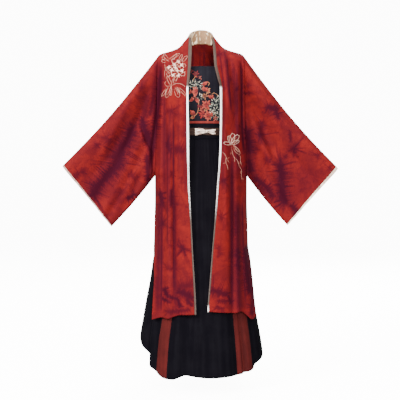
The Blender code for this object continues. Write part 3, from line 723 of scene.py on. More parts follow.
@dataclass(frozen=True)
class RobeForm:
    """The robe's form: level sections, edges and folds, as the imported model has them."""

    sections: Table = Table(
        ("z", "half_width", "front", "back", "power"),
        thousandths((
            (48, 57, 4, 40, 1000), (30.6, 71, 16, 68, 1000), (5.6, 94, 38, 84, 1000),
            (-8.5, 126, 48, 90, 1000), (-20.4, 167, 56, 93, 1000), (-28.7, 178, 62, 95, 1000),
            (-80, 180, 95, 104, 1500), (-120, 181, 114, 108, 1600), (-167, 182.5, 130, 111, 1600),
            (-250, 185, 136, 112, 1600), (-400, 189, 138, 112, 1500), (-529, 193, 141, 122, 1000),
            (-620, 193, 145, 131, 1000), (-720, 195.5, 150, 139, 1000),
            (-820, 198.5, 160, 148, 1000), (-900, 215, 170, 158, 1000),
            (-1000, 235, 187, 175, 1000), (-1120, 260, 206, 196, 1000),
        )),
    )
    edges: Table = Table(
        ("z", "right_cloth", "right_band", "left_cloth", "left_band"),
        thousandths((
            (48, -51, -39.5, 53, 45), (6, -52.5, -37.5, 61, 49.5), (-73, -54, -40, 66, 54),
            (-120, -56.5, -45, 76.5, 65), (-167, -59, -49, 85.8, 75.5), (-300, -58, -46, 85, 75),
            (-420, -56.6, -45.5, 82.6, 72.7), (-540, -54.2, -44, 74, 64.5),
            (-724.5, -43.3, -35.5, 60, 51.5), (-825, -38.4, -30, 51, 43),
            (-1024, -28.9, -19, 38, 29), (-1100, -26.5, -16, 32, 24),
        )),
    )
    slits: Table = Table(
        ("z", "right", "left", "back"),
        thousandths((
            (-820, 198.5, 198.5, 198.5), (-880, 196, 207, 200), (-948, 194, 214.1, 204),
            (-1040, 198, 221.6, 212), (-1120, 201.5, 229, 220),
        )),
    )
    right_hem: Table = Table(
        ("x", "z"),
        thousandths((
            (27, -1083), (80, -1085), (110, -1094), (140, -1103), (160, -1101), (202, -1114),
        )),
    )
    left_hem: Table = Table(
        ("x", "z"),
        thousandths((
            (32, -1071), (110, -1078), (138, -1081), (161, -1076), (186, -1094), (212, -1114),
            (230, -1100),
        )),
    )
    back_hem_z: float = -1.11
    row_stations: tuple[float, ...] = (
        NECK_SIDE_Z, SHOULDER_Z, -0.18, -0.38, -0.6, SLIT_Z, -0.97, HEM_Z,
    )
    front_folds: tuple[Fold, ...] = each(
        Fold,
        (-120, -100, -100, -8, 20), (-150, -157, -200, -7.5, 14), (-135, -128, -150, 5, 16),
        (-80, -70, -250, 3, 25), (125, 128, -150, -8, 14), (145, 152, -150, 6, 16),
        (160, 178, -100, -8, 14), (100, 85, -250, 3, 28),
    )
    back_folds: tuple[Fold, ...] = each(
        Fold,
        (-110, -150, -150, -7, 18), (-70, -85, -100, 5, 22), (-20, -30, -200, -6, 18),
        (40, 45, -150, 5, 22), (90, 110, -100, -7, 18), (130, 165, -200, 4, 18),
    )
    front_creases: tuple[Crease, ...] = each(
        Crease,
        (((-172, 0), (-172, -170), (-186, -300), (-203, -420), (-212, -560)), -12, 9, 11),
        (((166, -20), (170, -170), (174, -340), (186, -460)), -10, 10, 5),
        (((182, -330), (190, -450), (199, -580)), -10.2, 12),
        (((-272, -290), (-249, -345), (-236, -386), (-210, -427), (-207, -500), (-214, -570)), 12,
          40, 4), (((-162, -50), (-165, -350), (-168, -700)), 6.8, 8),
        (((-146, -80), (-143, -520)), -6.5, 7),
        (((-113, -190), (-110, -550), (-107, -980)), -7.8, 10, 5),
        (((-90, -200), (-84, -640)), 4.4, 10), (((-68, -160), (-66, -580)), -3.7, 5),
        (((-66, 30), (-85, -50), (-118, -160)), -5.8, 10),
        (((68, 40), (84, -80), (104, -280)), -6.8, 12, 8),
        (((88, 10), (108, -120), (126, -260)), 6.1, 11),
        (((116, -20), (130, -160), (142, -360)), -6.1, 8), (((150, -60), (157, -420)), 7.5, 8),
        (((100, -280), (104, -800)), 5.1, 10),
        (((118, -360), (122, -700), (121, -1060)), -7.5, 5, 10),
        (((172, -550), (176, -800), (186, -1040)), 8.5, 7, 9),
        (((-215, -60), (-330, -220), (-470, -420)), -7.5, 18, 12),
        (((-225, -110), (-340, -300), (-430, -470)), 6.5, 18),
        (((-205, -140), (-255, -270), (-330, -460)), -7.1, 18, 12),
        (((-260, -440), (-300, -550), (-400, -680)), 6.8, 20),
        (((-240, -500), (-290, -620), (-350, -700)), -7.6, 18, 12),
        (((-300, -300), (-380, -450), (-480, -560)), -5.1, 16),
        (((205, -70), (310, -220), (430, -400)), -6.5, 12, 18),
        (((205, -130), (290, -280), (400, -460)), 6.5, 18),
        (((200, -180), (250, -320), (320, -480)), -8.5, 12, 20),
        (((205, -270), (270, -450), (360, -640)), 7.5, 20),
        (((212, -380), (260, -520), (330, -690)), -8.5, 12, 20),
        (((310, -300), (380, -440), (470, -560)), -5.1, 16),
    )
    back_creases: tuple[Crease, ...] = each(
        Crease,
        (((-172, -20), (-176, -250), (-198, -540)), -11, 9),
        (((172, -20), (176, -250), (198, -540)), -11, 9), (((-135, -30), (-150, -420)), 7.1, 10),
        (((128, -30), (150, -400)), 7.1, 10), (((-100, -10), (-120, -340)), -7.1, 9),
        (((90, -10), (116, -360)), -7.1, 9), (((-60, -40), (-50, -700)), 4.8, 12),
        (((55, -60), (66, -640)), 4.8, 12), (((-30, 15), (-38, -260)), -4.4, 6),
        (((-11, 12), (-13, -300)), 4.1, 5), (((16, 12), (14, -260)), -5.1, 5),
        (((34, 15), (40, -300)), 4.4, 6), (((-210, -70), (-330, -240), (-440, -420)), -6.8, 16),
        (((-205, -200), (-290, -420), (-380, -600)), 7.6, 20),
        (((-215, -300), (-270, -500), (-340, -680)), -8.5, 14),
        (((205, -90), (320, -270), (440, -440)), -6.8, 16),
        (((200, -180), (290, -400), (370, -580)), 7.6, 20),
        (((215, -320), (270, -520), (330, -680)), -8.5, 14),
    )

    def half_width(self, z: Array) -> Array:
        """Half the robe's width at a height."""
        return self.sections.read("half_width", z)

    @staticmethod
    def lowered(side_z: Array) -> Array:
        """How far a row follows the hem's line: not at all at the slit, wholly at the hem."""
        return ease((SLIT_Z - side_z) / (SLIT_Z - HEM_Z))

    @staticmethod
    def sleeve_depth(share: Array, station: Array | float) -> Array:
        """Half a sleeve's thickness: a round where the arm lies, easing into a flap under it.

        Args:
            share: 0 at the sleeve's upper edge, 1 at its lower edge.
            station: 0 at the armhole, 1 at the cuff.

        Returns:
            Half the distance between the sleeve's front and back.
        """
        radius = 0.046 - 0.016 * station
        drop = share * (0.5 - 0.18 * station) / radius
        arm = np.sqrt(np.clip(drop * (2 - drop), 0, 1))
        arm = np.where(drop > 1, 1 - 0.58 * ease((drop - 1) / 3.5), arm)
        foot = np.clip((1 - share) / 0.1, 0, 1)
        return radius * arm * np.sqrt(foot * (2 - foot))

    def armhole_depth(self, z: Array) -> Array:
        """Half the robe's thickness at the armhole seam, 0 above the shoulder and below it."""
        share = (SHOULDER_Z - z) / (SHOULDER_Z - ARMPIT_Z)
        inside = (share > 0) & (share < 1)
        return np.where(inside, self.sleeve_depth(np.clip(share, 0, 1), 0.0), 0.0)

    def crease(self, face: Face, x: Array, z: Array, depth: Array) -> Array:
        """The creases of one face, fading where it closes on the other at a fold."""
        chosen = self.front_creases if face is Face.FRONT else self.back_creases
        return creased(chosen, x, z) * ease((depth - 0.004) / 0.02)

    def depth(self, face: Face, x: Array, z: Array) -> Array:
        """How far the robe's body stands out from the middle plane.

        The level section is the armhole's depth plus the rest of the centre's depth times a power
        of the square root of 1 - (x / half width)^2. Folds and creases are added, and fade where
        the section turns over at the side.
        """
        share = np.clip(np.abs(x) / self.half_width(z), 0, 1)
        inward = np.sqrt(1 - share**2)
        seam = self.armhole_depth(z)
        centre = self.sections.read(face.label, z)
        level = seam + (centre - seam) * inward ** self.sections.read("power", z)
        folds = self.front_folds if face is Face.FRONT else self.back_folds
        moved = sum((fold.at(x, z) for fold in folds), np.zeros_like(x)) * ease(inward * 2.5)
        return level + moved + self.crease(face, x, z, level)

    def front_surface(self, x: Array, z: Array) -> Array:
        """The y of the robe's front at x and z."""
        return -self.depth(Face.FRONT, x, z)


FRONT_DYE_AND_SHADE = DyeAndShadeWork(
    stains=each(
        DarkMark,
        (((-290, -335), (-303, -380), (-337, -430), (-344, -475), (-365, -500), (-405, -543),
          (-433, -570), (-447, -605)), 34, 1000),
        (((-318, -395), (-345, -440), (-352, -480)), 46, 900),
        (((-292, -312), (-280, -332)), 10, 800),
        # Partly painted shade: the dark inner side of the crease by the right armhole, with dye.
        (((-243, -300), (-236, -335), (-222, -360), (-207, -395)), 22, 1000),
        (((-225, -200), (-237, -280)), 20, 500), (((-196, -195), (-211, -271)), 12, 700),
        (((-430, -400),), 14, 600), (((-392, -372), (-378, -385)), 18, 450),
        (((-491, -511),), 14, 600), (((-520, -530), (-508, -520)), 12, 500),
        (((-334, -595),), 18, 450), (((-303, -623), (-280, -606)), 12, 950),
        (((-275, -537), (-290, -525)), 18, 500), (((-225, -447), (-220, -560)), 11, 850),
        (((-320, -500),), 16, 400), (((-245, -164),), 12, 450),
        (((-291, -224), (-318, -262)), 12, 300),
        # Partly painted shade: the valley along the right armhole seam, with dye.
        (((-172, -132), (-181, -258), (-193, -342), (-204, -418)), 16, 950),
        (((-137, -395), (-127, -425)), 18, 850), (((-100, -415), (-74, -425)), 22, 600),
        (((-122, -263),), 18, 550), (((-166, -600), (-160, -640)), 17, 900),
        (((-121, -590), (-122, -640)), 12, 800), (((-160, -724),), 19, 850),
        (((-113.5, -740),), 11, 650), (((-70.6, -822),), 20, 850), (((-121, -518),), 13, 550),
        (((-79, -537),), 10, 350), (((-135, -903), (-106, -903)), 10, 500),
        (((-125, -810),), 13, 450), (((-85, -975), (-45, -965)), 18, 500),
        (((-86, -995), (-62, -1000), (-40, -1012)), 20, 850),
        (((-148, -988), (-135, -1012)), 11, 1000), (((-156, -1026), (-133, -1034)), 9, 950),
        (((-122, -1017), (-95, -1024), (-83, -1048)), 11, 950),
        (((-55, -1020), (-38, -1045)), 9, 800),
        (((-130, -1072), (-88, -1072), (-50, -1062)), 9, 600),
        (((278, -243), (309, -250), (318, -280)), 16, 900), (((246, -360),), 20, 900),
        (((256, -312), (248, -345)), 14, 600),
        (((192, -345), (200, -390), (202, -425)), 21, 1000), (((229.5, -414),), 12, 600),
        (((200, -469), (213, -505)), 19, 900), (((229, -540), (275, -575), (300, -610)), 19, 850),
        (((386, -414),), 22, 950), (((369.5, -345), (372, -384)), 7, 650),
        (((352, -447.5),), 13, 650), (((276.5, -460),), 16, 550),
        (((331.5, -485), (335.5, -511), (333.5, -545), (337.5, -579), (340, -608), (348, -634)),
          30, 1000), (((380, -655), (395, -672)), 18, 850), (((484, -443),), 13, 600),
        (((530, -494.6),), 11, 500), (((416, -587),), 12, 350), (((200, -186),), 13, 600),
        (((197, -150),), 15, 450), (((146.6, -172),), 11, 950), (((119.5, -133),), 15, 500),
        (((139, -272.5),), 13, 500), (((76.8, -24.6),), 13, 600), (((92.6, -545),), 18, 700),
        (((81, -693),), 15, 500), (((74.7, -817), (73, -850)), 12, 400),
        (((142, -675), (142, -770)), 10, 700), (((150, -830), (152, -900)), 18, 950),
        (((185, -830), (190, -930), (203, -1000)), 21, 1000),
        (((48, -985), (75, -995), (100, -1005)), 16, 800), (((73, -1030), (112, -1030)), 11, 650),
        (((111, -1013), (122, -1038)), 9, 900), (((62, -1055), (90, -1060)), 10, 550),
        (((208, -1060), (208, -1090)), 11, 700),
    ),
    # Veils: painted shade along the folds, creases and armhole seams of the front, partly dye.
    dye_and_shade_veils=each(
        DarkMark,
        (((-165, -30), (-168, -168), (-182, -250), (-189, -305), (-199, -386), (-206, -427),
          (-212, -488), (-218, -570)), 13.2, 1000),
        (((164, -30), (168, -150), (170, -310), (180, -470)), 6.6, 1000),
        (((-246, -300), (-238, -335), (-226, -375), (-200, -420)), 15.4, 1000),
        (((-172, -580), (-176, -1140)), 16.5, 770),
        (((-108, -560), (-104, -950), (-100, -1120)), 8.8, 700),
        (((-150, -160), (-150, -620)), 9.9, 700),
        (((-113, -220), (-112, -600), (-110, -1060)), 4.2, 1000),
        (((-161, -600), (-162, -1110)), 3.8, 900), (((-138, -300), (-137, -850)), 4, 700),
        (((126, -450), (126, -800), (125, -1100)), 4.2, 1000),
        (((170, -600), (176, -900), (184, -1080)), 4.2, 900),
        (((106, -20), (112, -140), (126, -280)), 4, 900),
        (((72, 20), (86, -100), (98, -200)), 4, 800), (((146, -80), (150, -300)), 4, 700),
        (((-128, -220), (-130, -620)), 6.6, 490), (((-63, -170), (-63, -640)), 6.6, 560),
        (((-93, -180), (-90, -520)), 5.5, 420),
        (((150, -580), (150, -850), (156, -1130)), 16.5, 840),
        (((128, -360), (128, -750), (124, -1120)), 9.9, 770),
        (((195, -560), (206, -850), (219, -1130)), 13.2, 910),
        (((128, -20), (148, -330), (152, -560)), 9.9, 700),
        (((94, 10), (106, -120), (118, -240)), 6.6, 700), (((92, -180), (89, -620)), 6.6, 560),
        (((-180, -30), (-192, -160), (-205, -300)), 15.4, 630),
        (((280, -660), (500, -500)), 66, 490), (((-310, -660), (-500, -520)), 55, 390),
        (((195, -300), (215, -520), (300, -640)), 24.2, 630),
    ),
)

BACK_DYE_AND_SHADE = DyeAndShadeWork(
    stains=each(
        DarkMark,
        (((-120, -120), (-90, -180), (-95, -250)), 32, 950), (((60, -80), (100, -130)), 24, 800),
        (((20, -300), (55, -360), (60, -430)), 34, 1000), (((-130, -420),), 26, 800),
        (((140, -300),), 20, 600), (((-40, -560), (-70, -620)), 28, 900),
        (((130, -600), (120, -660)), 26, 850), (((-150, -760), (-135, -800)), 24, 800),
        (((30, -780),), 26, 900), (((100, -860), (135, -900)), 26, 950),
        (((-80, -920), (-40, -950)), 26, 850),
        (((-190, -1000), (-140, -1015), (-90, -1005)), 22, 950),
        (((10, -1030), (60, -1020), (110, -1035)), 22, 900), (((170, -1010),), 22, 800),
        (((-290, -260), (-330, -340), (-380, -400)), 36, 1000),
        (((-300, -500), (-340, -560), (-350, -620)), 30, 900), (((-450, -500),), 20, 700),
        (((-230, -400), (-235, -460)), 22, 700), (((250, -200), (290, -290)), 30, 900),
        (((360, -380), (350, -450), (380, -520)), 36, 1000),
        (((270, -480), (290, -560)), 24, 800), (((460, -480),), 18, 600),
    ),
    # Veils: painted shade along the back's folds, armhole seams and neck wrinkles, partly dye.
    dye_and_shade_veils=each(
        DarkMark,
        (((-170, -30), (-176, -250), (-200, -550)), 11, 1000),
        (((170, -30), (176, -250), (200, -550)), 11, 1000),
        (((-110, -100), (-130, -600), (-150, -1100)), 13.2, 630),
        (((-20, 20), (-26, -600), (-30, -1100)), 9.9, 630),
        (((90, -100), (100, -600), (110, -1100)), 13.2, 630), (((14, 30), (14, -300)), 4.4, 770),
        (((-34, 30), (-38, -280)), 4.4, 700), (((45, 30), (50, -280)), 5.5, 560),
        (((-4, 30), (-6, -260)), 3.3, 560),
    ),
)


@dataclass
class Robe:
    """The open robe: backs, fronts, sleeves, cuff bindings, collar and front bands."""

    form: RobeForm = field(default_factory=RobeForm)
    cloth: float = 0.0015
    band_cloth: float = 0.0022
    cuff_tops: tuple[Point, Point] = ((0.57, -0.48), (0.562, -0.487))
    cuff_bottoms: tuple[Point, Point] = ((0.37, -0.736), (0.357, -0.73))
    top_sags: tuple[float, float] = (0.017, 0.02)
    bottom_sag: float = 0.006
    cuff_forward: float = 0.03
    cuff_width: float = 0.008
    right_cuff_share: float = 0.7
    low_band_share: float = 0.7
    full_band_z: tuple[float, float] = (-0.19, -0.13)
    pale_band: tuple[float, float, float, float] = (-0.16, 0.012, -0.5, 0.05)
    mixed_band: tuple[float, float, float, float] = (-0.44, 0.05, -0.72, 0.14)
    pale_tip_z: tuple[float, float] = (-1.04, -1.06)
    lining_z: tuple[float, float] = (-0.56, -0.61)
    sleeve_folds: tuple[tuple[float, float, float, float], ...] = (
        (0.3, 0.62, -0.006, 0.07), (0.45, 0.8, 0.005, 0.06), (0.6, 0.9, -0.005, 0.05),
    )
    sleeve_rows: tuple[float, ...] = (
        SHOULDER_Z, -0.033, -0.045, -0.07, -0.12, -0.2, -0.28, -0.36, -0.44,
        -0.49, -0.515, ARMPIT_Z,
    )
    collar_side_z: float = 0.055
    collar_top_z: float = 0.0876
    collar_half_width: float = 0.051
    collar_back: float = 0.066
    facing_gap: float = 0.0012
    facing_foot: float = 0.06

    def hem(self, side: Side, x: Array) -> Array:
        """A front hem's height at a distance from the centre line."""
        return (self.form.right_hem if side is Side.RIGHT else self.form.left_hem).read("z", x)

    def dyed(self, face: Face, x: Array, z: Array) -> dict[str, Array]:
        """The attributes of the dye and the painted fold shade on one face."""
        return (FRONT_DYE_AND_SHADE if face is Face.FRONT else BACK_DYE_AND_SHADE).attributes(x, z)

    def front(self, side: Side, with_pieces: Sequence[bpy.types.Object]) -> bpy.types.Object:
        """A front panel: level rows run from the opening edge to the side, evenly by angle."""
        form = self.form
        u, v = parameters(70, 230)
        side_z = spread(v, form.row_stations)
        low = form.lowered(side_z)
        edge = side.value * form.edges.read(side.label + "_cloth", side_z)
        half = form.half_width(side_z)
        outer = np.where(side_z < SLIT_Z, form.slits.read(side.label, side_z), half)
        start, stop = (np.arcsin(np.clip(end / half, 0, 1)) for end in (edge, outer))
        x = half * np.sin(start + (stop - start) * u)
        z = side_z + low * (self.hem(side, x) - HEM_Z)
        x = side.value * x
        points = np.stack([x, form.front_surface(x, z), z], axis=-1)
        grid = Grid(points, np.stack([x, z], axis=-1), attributes=self.dyed(Face.FRONT, x, z))
        return sew(f"robe_front_{side.label}", grid, self.cloth, CREPE)

    def back(self, side: Side) -> bpy.types.Object:
        """Half of the back: rows run from the centre seam to the side, evenly by angle."""
        form = self.form
        u, v = parameters(70, 230)
        turn = u * math.pi / 2
        neck = NECK_BACK_Z + (NECK_SIDE_Z - NECK_BACK_Z) * np.sin(turn) ** 2
        side_z = spread(v, form.row_stations)
        high = ease((side_z - ARMPIT_Z) / (NECK_SIDE_Z - ARMPIT_Z)) ** 2
        low = form.lowered(side_z)
        z = side_z + (neck - NECK_SIDE_Z) * high + low * (form.back_hem_z - HEM_Z)
        half = form.half_width(z)
        outer = np.where(side_z < SLIT_Z, form.slits.read("back", side_z), half)
        reach = np.arcsin(np.clip(outer / half, 0, 1)) / (math.pi / 2)
        x = side.value * half * np.sin(turn * reach)
        points = np.stack([x, form.depth(Face.BACK, x, z), z], axis=-1)
        grid = Grid(points, np.stack([x, z], axis=-1), attributes=self.dyed(Face.BACK, x, z))
        return sew(f"robe_back_{side.label}", grid, self.cloth, CREPE)

    def sleeve_points(self, side: Side, around: Array, station: Array, grow: float) -> Array:
        """Points of a sleeve.

        Each point runs in a straight line from the armhole to the cuff, with a sag of half a sine
        wave, and stands out in front of or behind the middle plane by the sleeve's depth.

        Args:
            side: Which sleeve.
            around: 0 at the lower edge, 0.5 at the top, 1 at the lower edge again; front first.
            station: 0 at the armhole, 1 at the cuff.
            grow: How much further the surface stands out.

        Returns:
            The points' x, y and z.
        """
        index = 0 if side is Side.RIGHT else 1
        fold = np.abs(around - 0.5) * 2
        z_hole = spread(fold, self.sleeve_rows)
        share = (SHOULDER_Z - z_hole) / (SHOULDER_Z - ARMPIT_Z)
        hole_x = self.form.half_width(z_hole)
        (top_x, top_z), (low_x, low_z) = self.cuff_tops[index], self.cuff_bottoms[index]
        sag = self.top_sags[index] * (1 - share) + self.bottom_sag * share
        x = hole_x + (top_x + (low_x - top_x) * share - hole_x) * station
        z = z_hole + (top_z + (low_z - top_z) * share - z_hole) * station
        z = z - sag * np.sin(math.pi * np.clip(station, 0, 1))
        x = side.value * x
        depth = self.form.sleeve_depth(share, station)
        moved = np.zeros_like(share)
        for armhole, cuff, out, width in self.sleeve_folds:
            moved += out * bell(share - (armhole + (cuff - armhole) * station), width)
        moved *= ease(station * 3) * ease((1 - share) * 5)
        calm = ease((1.02 - station) * 8)
        front = depth + moved + self.form.crease(Face.FRONT, x, z, depth) * calm
        back = depth + self.form.crease(Face.BACK, x, z, depth) * calm
        out = np.where(around < 0.5, -(front + grow), back + grow)
        out = np.where((around == 0) | (around == 0.5), 0.0, out)
        return np.stack([x, out - self.cuff_forward * station**2, z], axis=-1)

    def sleeve(self, side: Side) -> bpy.types.Object:
        """A sleeve, one piece folded over the arm and closed along its lower edge."""
        around, station = parameters(220, 130, around=True)
        points = self.sleeve_points(side, around, station, 0.0)
        x, z = points[..., 0], points[..., 2]
        front, back = (self.dyed(face, x, z) for face in Face)
        ahead = around < 0.5
        attributes = {}
        for name, values in front.items():
            chosen = ahead[..., None] if values.ndim == 3 else ahead
            attributes[name] = np.where(chosen, values, back[name])
        flat = np.stack([np.where(ahead, x, x + 0.7), z], axis=-1)
        return sew(f"sleeve_{side.label}", Grid(points, flat, True, attributes), self.cloth, CREPE,
                   closed=True)

    def cuff(self, side: Side) -> bpy.types.Object:
        """The binding that goes on from a sleeve's open end; the right one is narrow, and its binding is a
        darker copy that paints shade on it.
        """
        around, v = parameters(180, 7, around=True)
        length = self.cuff_tops[0][0] - self.form.half_width(np.array(SHOULDER_Z))
        width = self.cuff_width * (self.right_cuff_share if side is Side.RIGHT else 1)
        station = 1 + width * v / length
        points = self.sleeve_points(side, around, station, 0.0003)
        flat = np.stack([around * 0.66, v * self.cuff_width], axis=-1)
        finish = SHADED_BINDING if side is Side.RIGHT else BINDING
        return sew(f"cuff_{side.label}", Grid(points, flat, True), self.band_cloth, finish,
                   closed=True)

    def band(self, side: Side) -> bpy.types.Object:
        """The band sewn flush to a front edge, from the neck to the hem.

        Less of it shows from the chest down. It is pale over the chest, mixed below that, and
        pale again at the left one's tip and in a trace along both inner edges.
        """
        form = self.form
        u, v = parameters(6, 260)
        side_z = spread(v, form.row_stations)
        low = form.lowered(side_z)
        cloth = side.value * form.edges.read(side.label + "_cloth", side_z)
        inner = side.value * form.edges.read(side.label + "_band", side_z)
        narrowed, full = self.full_band_z
        widened = ease((side_z - narrowed) / (full - narrowed))
        shown = self.low_band_share + (1 - self.low_band_share) * widened
        x = side.value * (cloth + shown * (inner - cloth) * u)
        z = side_z + low * (self.hem(side, cloth) - HEM_Z)
        y = form.front_surface(x, z) - 0.0004 * np.sin(math.pi * u)
        tip, lining = (ease((top - z) / (top - foot)) for top, foot in
                       (self.pale_tip_z, self.lining_z))
        tip = tip if side is Side.LEFT else np.zeros_like(z)
        trace = np.maximum(tip, ease((u - 0.7) / 0.25) * lining * 0.05) * 0.8
        attributes = {"pale": np.maximum(between(z, *self.pale_band), trace),
                      "mixed": between(z, *self.mixed_band), "edge": np.ones_like(z)}
        grid = Grid(np.stack([x, y, z], axis=-1), np.stack([x, z], axis=-1), attributes=attributes)
        return sew(f"front_band_{side.label}", grid, self.band_cloth, BROCADE)

    def collar(self, name: str, inset: float, foot: float, wall: float, finish: Finish) -> bpy.types.Object:
        """A layer of the band that stands up round the back of the neck.

        Its foot follows the neckline, half an ellipse in plan, and its top a smaller one that is
        highest at the back.

        Args:
            name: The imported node's name.
            inset: How far inside the outer layer it lies.
            foot: Its foot stands above the neckline at the back by twice this share of its
                height, and reaches below it at the sides by three times this share.
            wall: Its thickness.
            finish: What it is made of.

        Returns:
            The layer.
        """
        form = self.form
        u, v = parameters(72, 18)
        turn = (u - 0.5) * math.pi
        low = foot * (2 - 5 * ease(np.sin(turn) ** 2 / 0.4))
        rise = low + (1 - low) * v
        neck_z = NECK_BACK_Z + (NECK_SIDE_Z - NECK_BACK_Z) * np.sin(turn) ** 2
        low_x = (form.half_width(neck_z) - inset) * np.sin(turn)
        low_y = (form.sections.read("back", neck_z) - inset) * np.cos(turn)
        top_x = (self.collar_half_width - inset) * np.sin(turn)
        top_y = (self.collar_back - inset) * np.cos(turn)
        rise_z = self.collar_top_z - self.collar_side_z
        top_z = self.collar_side_z + rise_z * np.cos(turn)
        points = np.stack([low_x + (top_x - low_x) * rise, low_y + (top_y - low_y) * rise,
                           neck_z + (top_z - neck_z) * rise], axis=-1)
        flat = np.stack([turn * 0.07, points[..., 2]], axis=-1)
        attributes = self.dyed(Face.BACK, points[..., 0], points[..., 2])
        attributes |= {label: np.zeros_like(u) for label in ("pale", "mixed", "edge")}
        return sew(name, Grid(points, flat, attributes=attributes), wall, finish)

    def build(self, sewn_on: dict[Side, Sequence[bpy.types.Object]]) -> None:
        """Makes every piece of the robe; sewn_on holds the embroidery of each front."""
        self.collar("collar_outer", 0.0, 0.0, self.cloth, CREPE)
        inset = self.cloth + self.facing_gap
        self.collar("collar_facing", inset, self.facing_foot, self.band_cloth, BROCADE)
        for side in Side:
            self.back(side)
            self.front(side, sewn_on[side])
            self.sleeve(side)
            self.cuff(side)
            self.band(side)


@dataclass(frozen=True)
class WrapForm:
    """The chest wrap's and the waistband's level sections, half ellipses front and back."""

    sections: Table = Table(
        ("z", "half_width", "front", "back"),
        thousandths((
            (-78, 133, 76, 80), (-120, 141, 94, 86), (-167, 146, 108, 90), (-220, 143, 112, 88),
            (-304, 136, 107.5, 85), (-376.5, 140, 104.5, 87),
        )),
    )
    creases: tuple[Crease, ...] = each(
        Crease,
        (((28, -85), (36, -150)), -1.2, 8), (((10, -135), (60, -142)), 1, 10),
        (((-60, -120), (-100, -240)), -1.4, 12), (((90, -130), (110, -260)), -1.4, 12),
    )

    def points(self, turn: Array, z: Array, grow: float = 0.0) -> Array:
        """Points at an angle from the front and a height, moved out by grow."""
        front, back = (self.sections.read(label, z) for label in ("front", "back"))
        depth = grow + np.where(np.cos(turn) > 0, front, back)
        x = (self.sections.read("half_width", z) + grow) * np.sin(turn)
        moved = creased(self.creases, x, z) * np.maximum(np.cos(turn), 0)
        return np.stack([x, -(depth + moved) * np.cos(turn), z + np.zeros_like(turn)], axis=-1)

    def front_surface(self, x: Array, z: Array) -> Array:
        """The y of the wrap's front at x and z."""
        half, depth = (self.sections.read(label, z) for label in ("half_width", "front"))
        cosine = np.sqrt(np.clip(1 - (x / half) ** 2, 0, 1))
        return -(depth + creased(self.creases, x, z) * cosine) * cosine


@dataclass
class ChestWrap:
    """The chest wrap: a front and a back with side seams, and a red band along the lower edge."""

    form: WrapForm = field(default_factory=WrapForm)
    cloth: float = 0.0018
    top_z: float = -0.078
    band_top_z: float = -0.3035
    band_bottom_z: float = -0.313
    side_gap: float = math.radians(0.382)

    def half(self, name: str, start: float, with_pieces: Sequence[bpy.types.Object]) -> None:
        """The front or the back, half a turn from its first side seam, less the seams' gaps."""
        u, v = parameters(90, 60)
        turn = start + self.side_gap + (math.pi - 2 * self.side_gap) * u
        z = self.top_z + (self.band_top_z - self.top_z) * v
        flat = np.stack([turn * 0.12, z], axis=-1)
        sew(name, Grid(self.form.points(turn, z), flat), self.cloth, WRAP_BLACK)

    def build(self, sewn_on: Sequence[bpy.types.Object]) -> None:
        """Makes both halves and the band, which has a rolled lower edge."""
        self.half("wrap_front", -math.pi / 2, sewn_on)
        self.half("wrap_back", math.pi / 2, ())
        u, v = parameters(180, 6, around=True)
        z = self.band_top_z + (self.band_bottom_z - self.band_top_z) * v
        points = self.form.points(2 * math.pi * u, z)
        points[..., :2] *= (1 + 0.006 * np.sin(math.pi * v))[..., None]
        flat = np.stack([u * 0.76, z], axis=-1)
        sew("wrap_band", Grid(points, flat, True), self.cloth, WRAP_RED,
            closed=True)


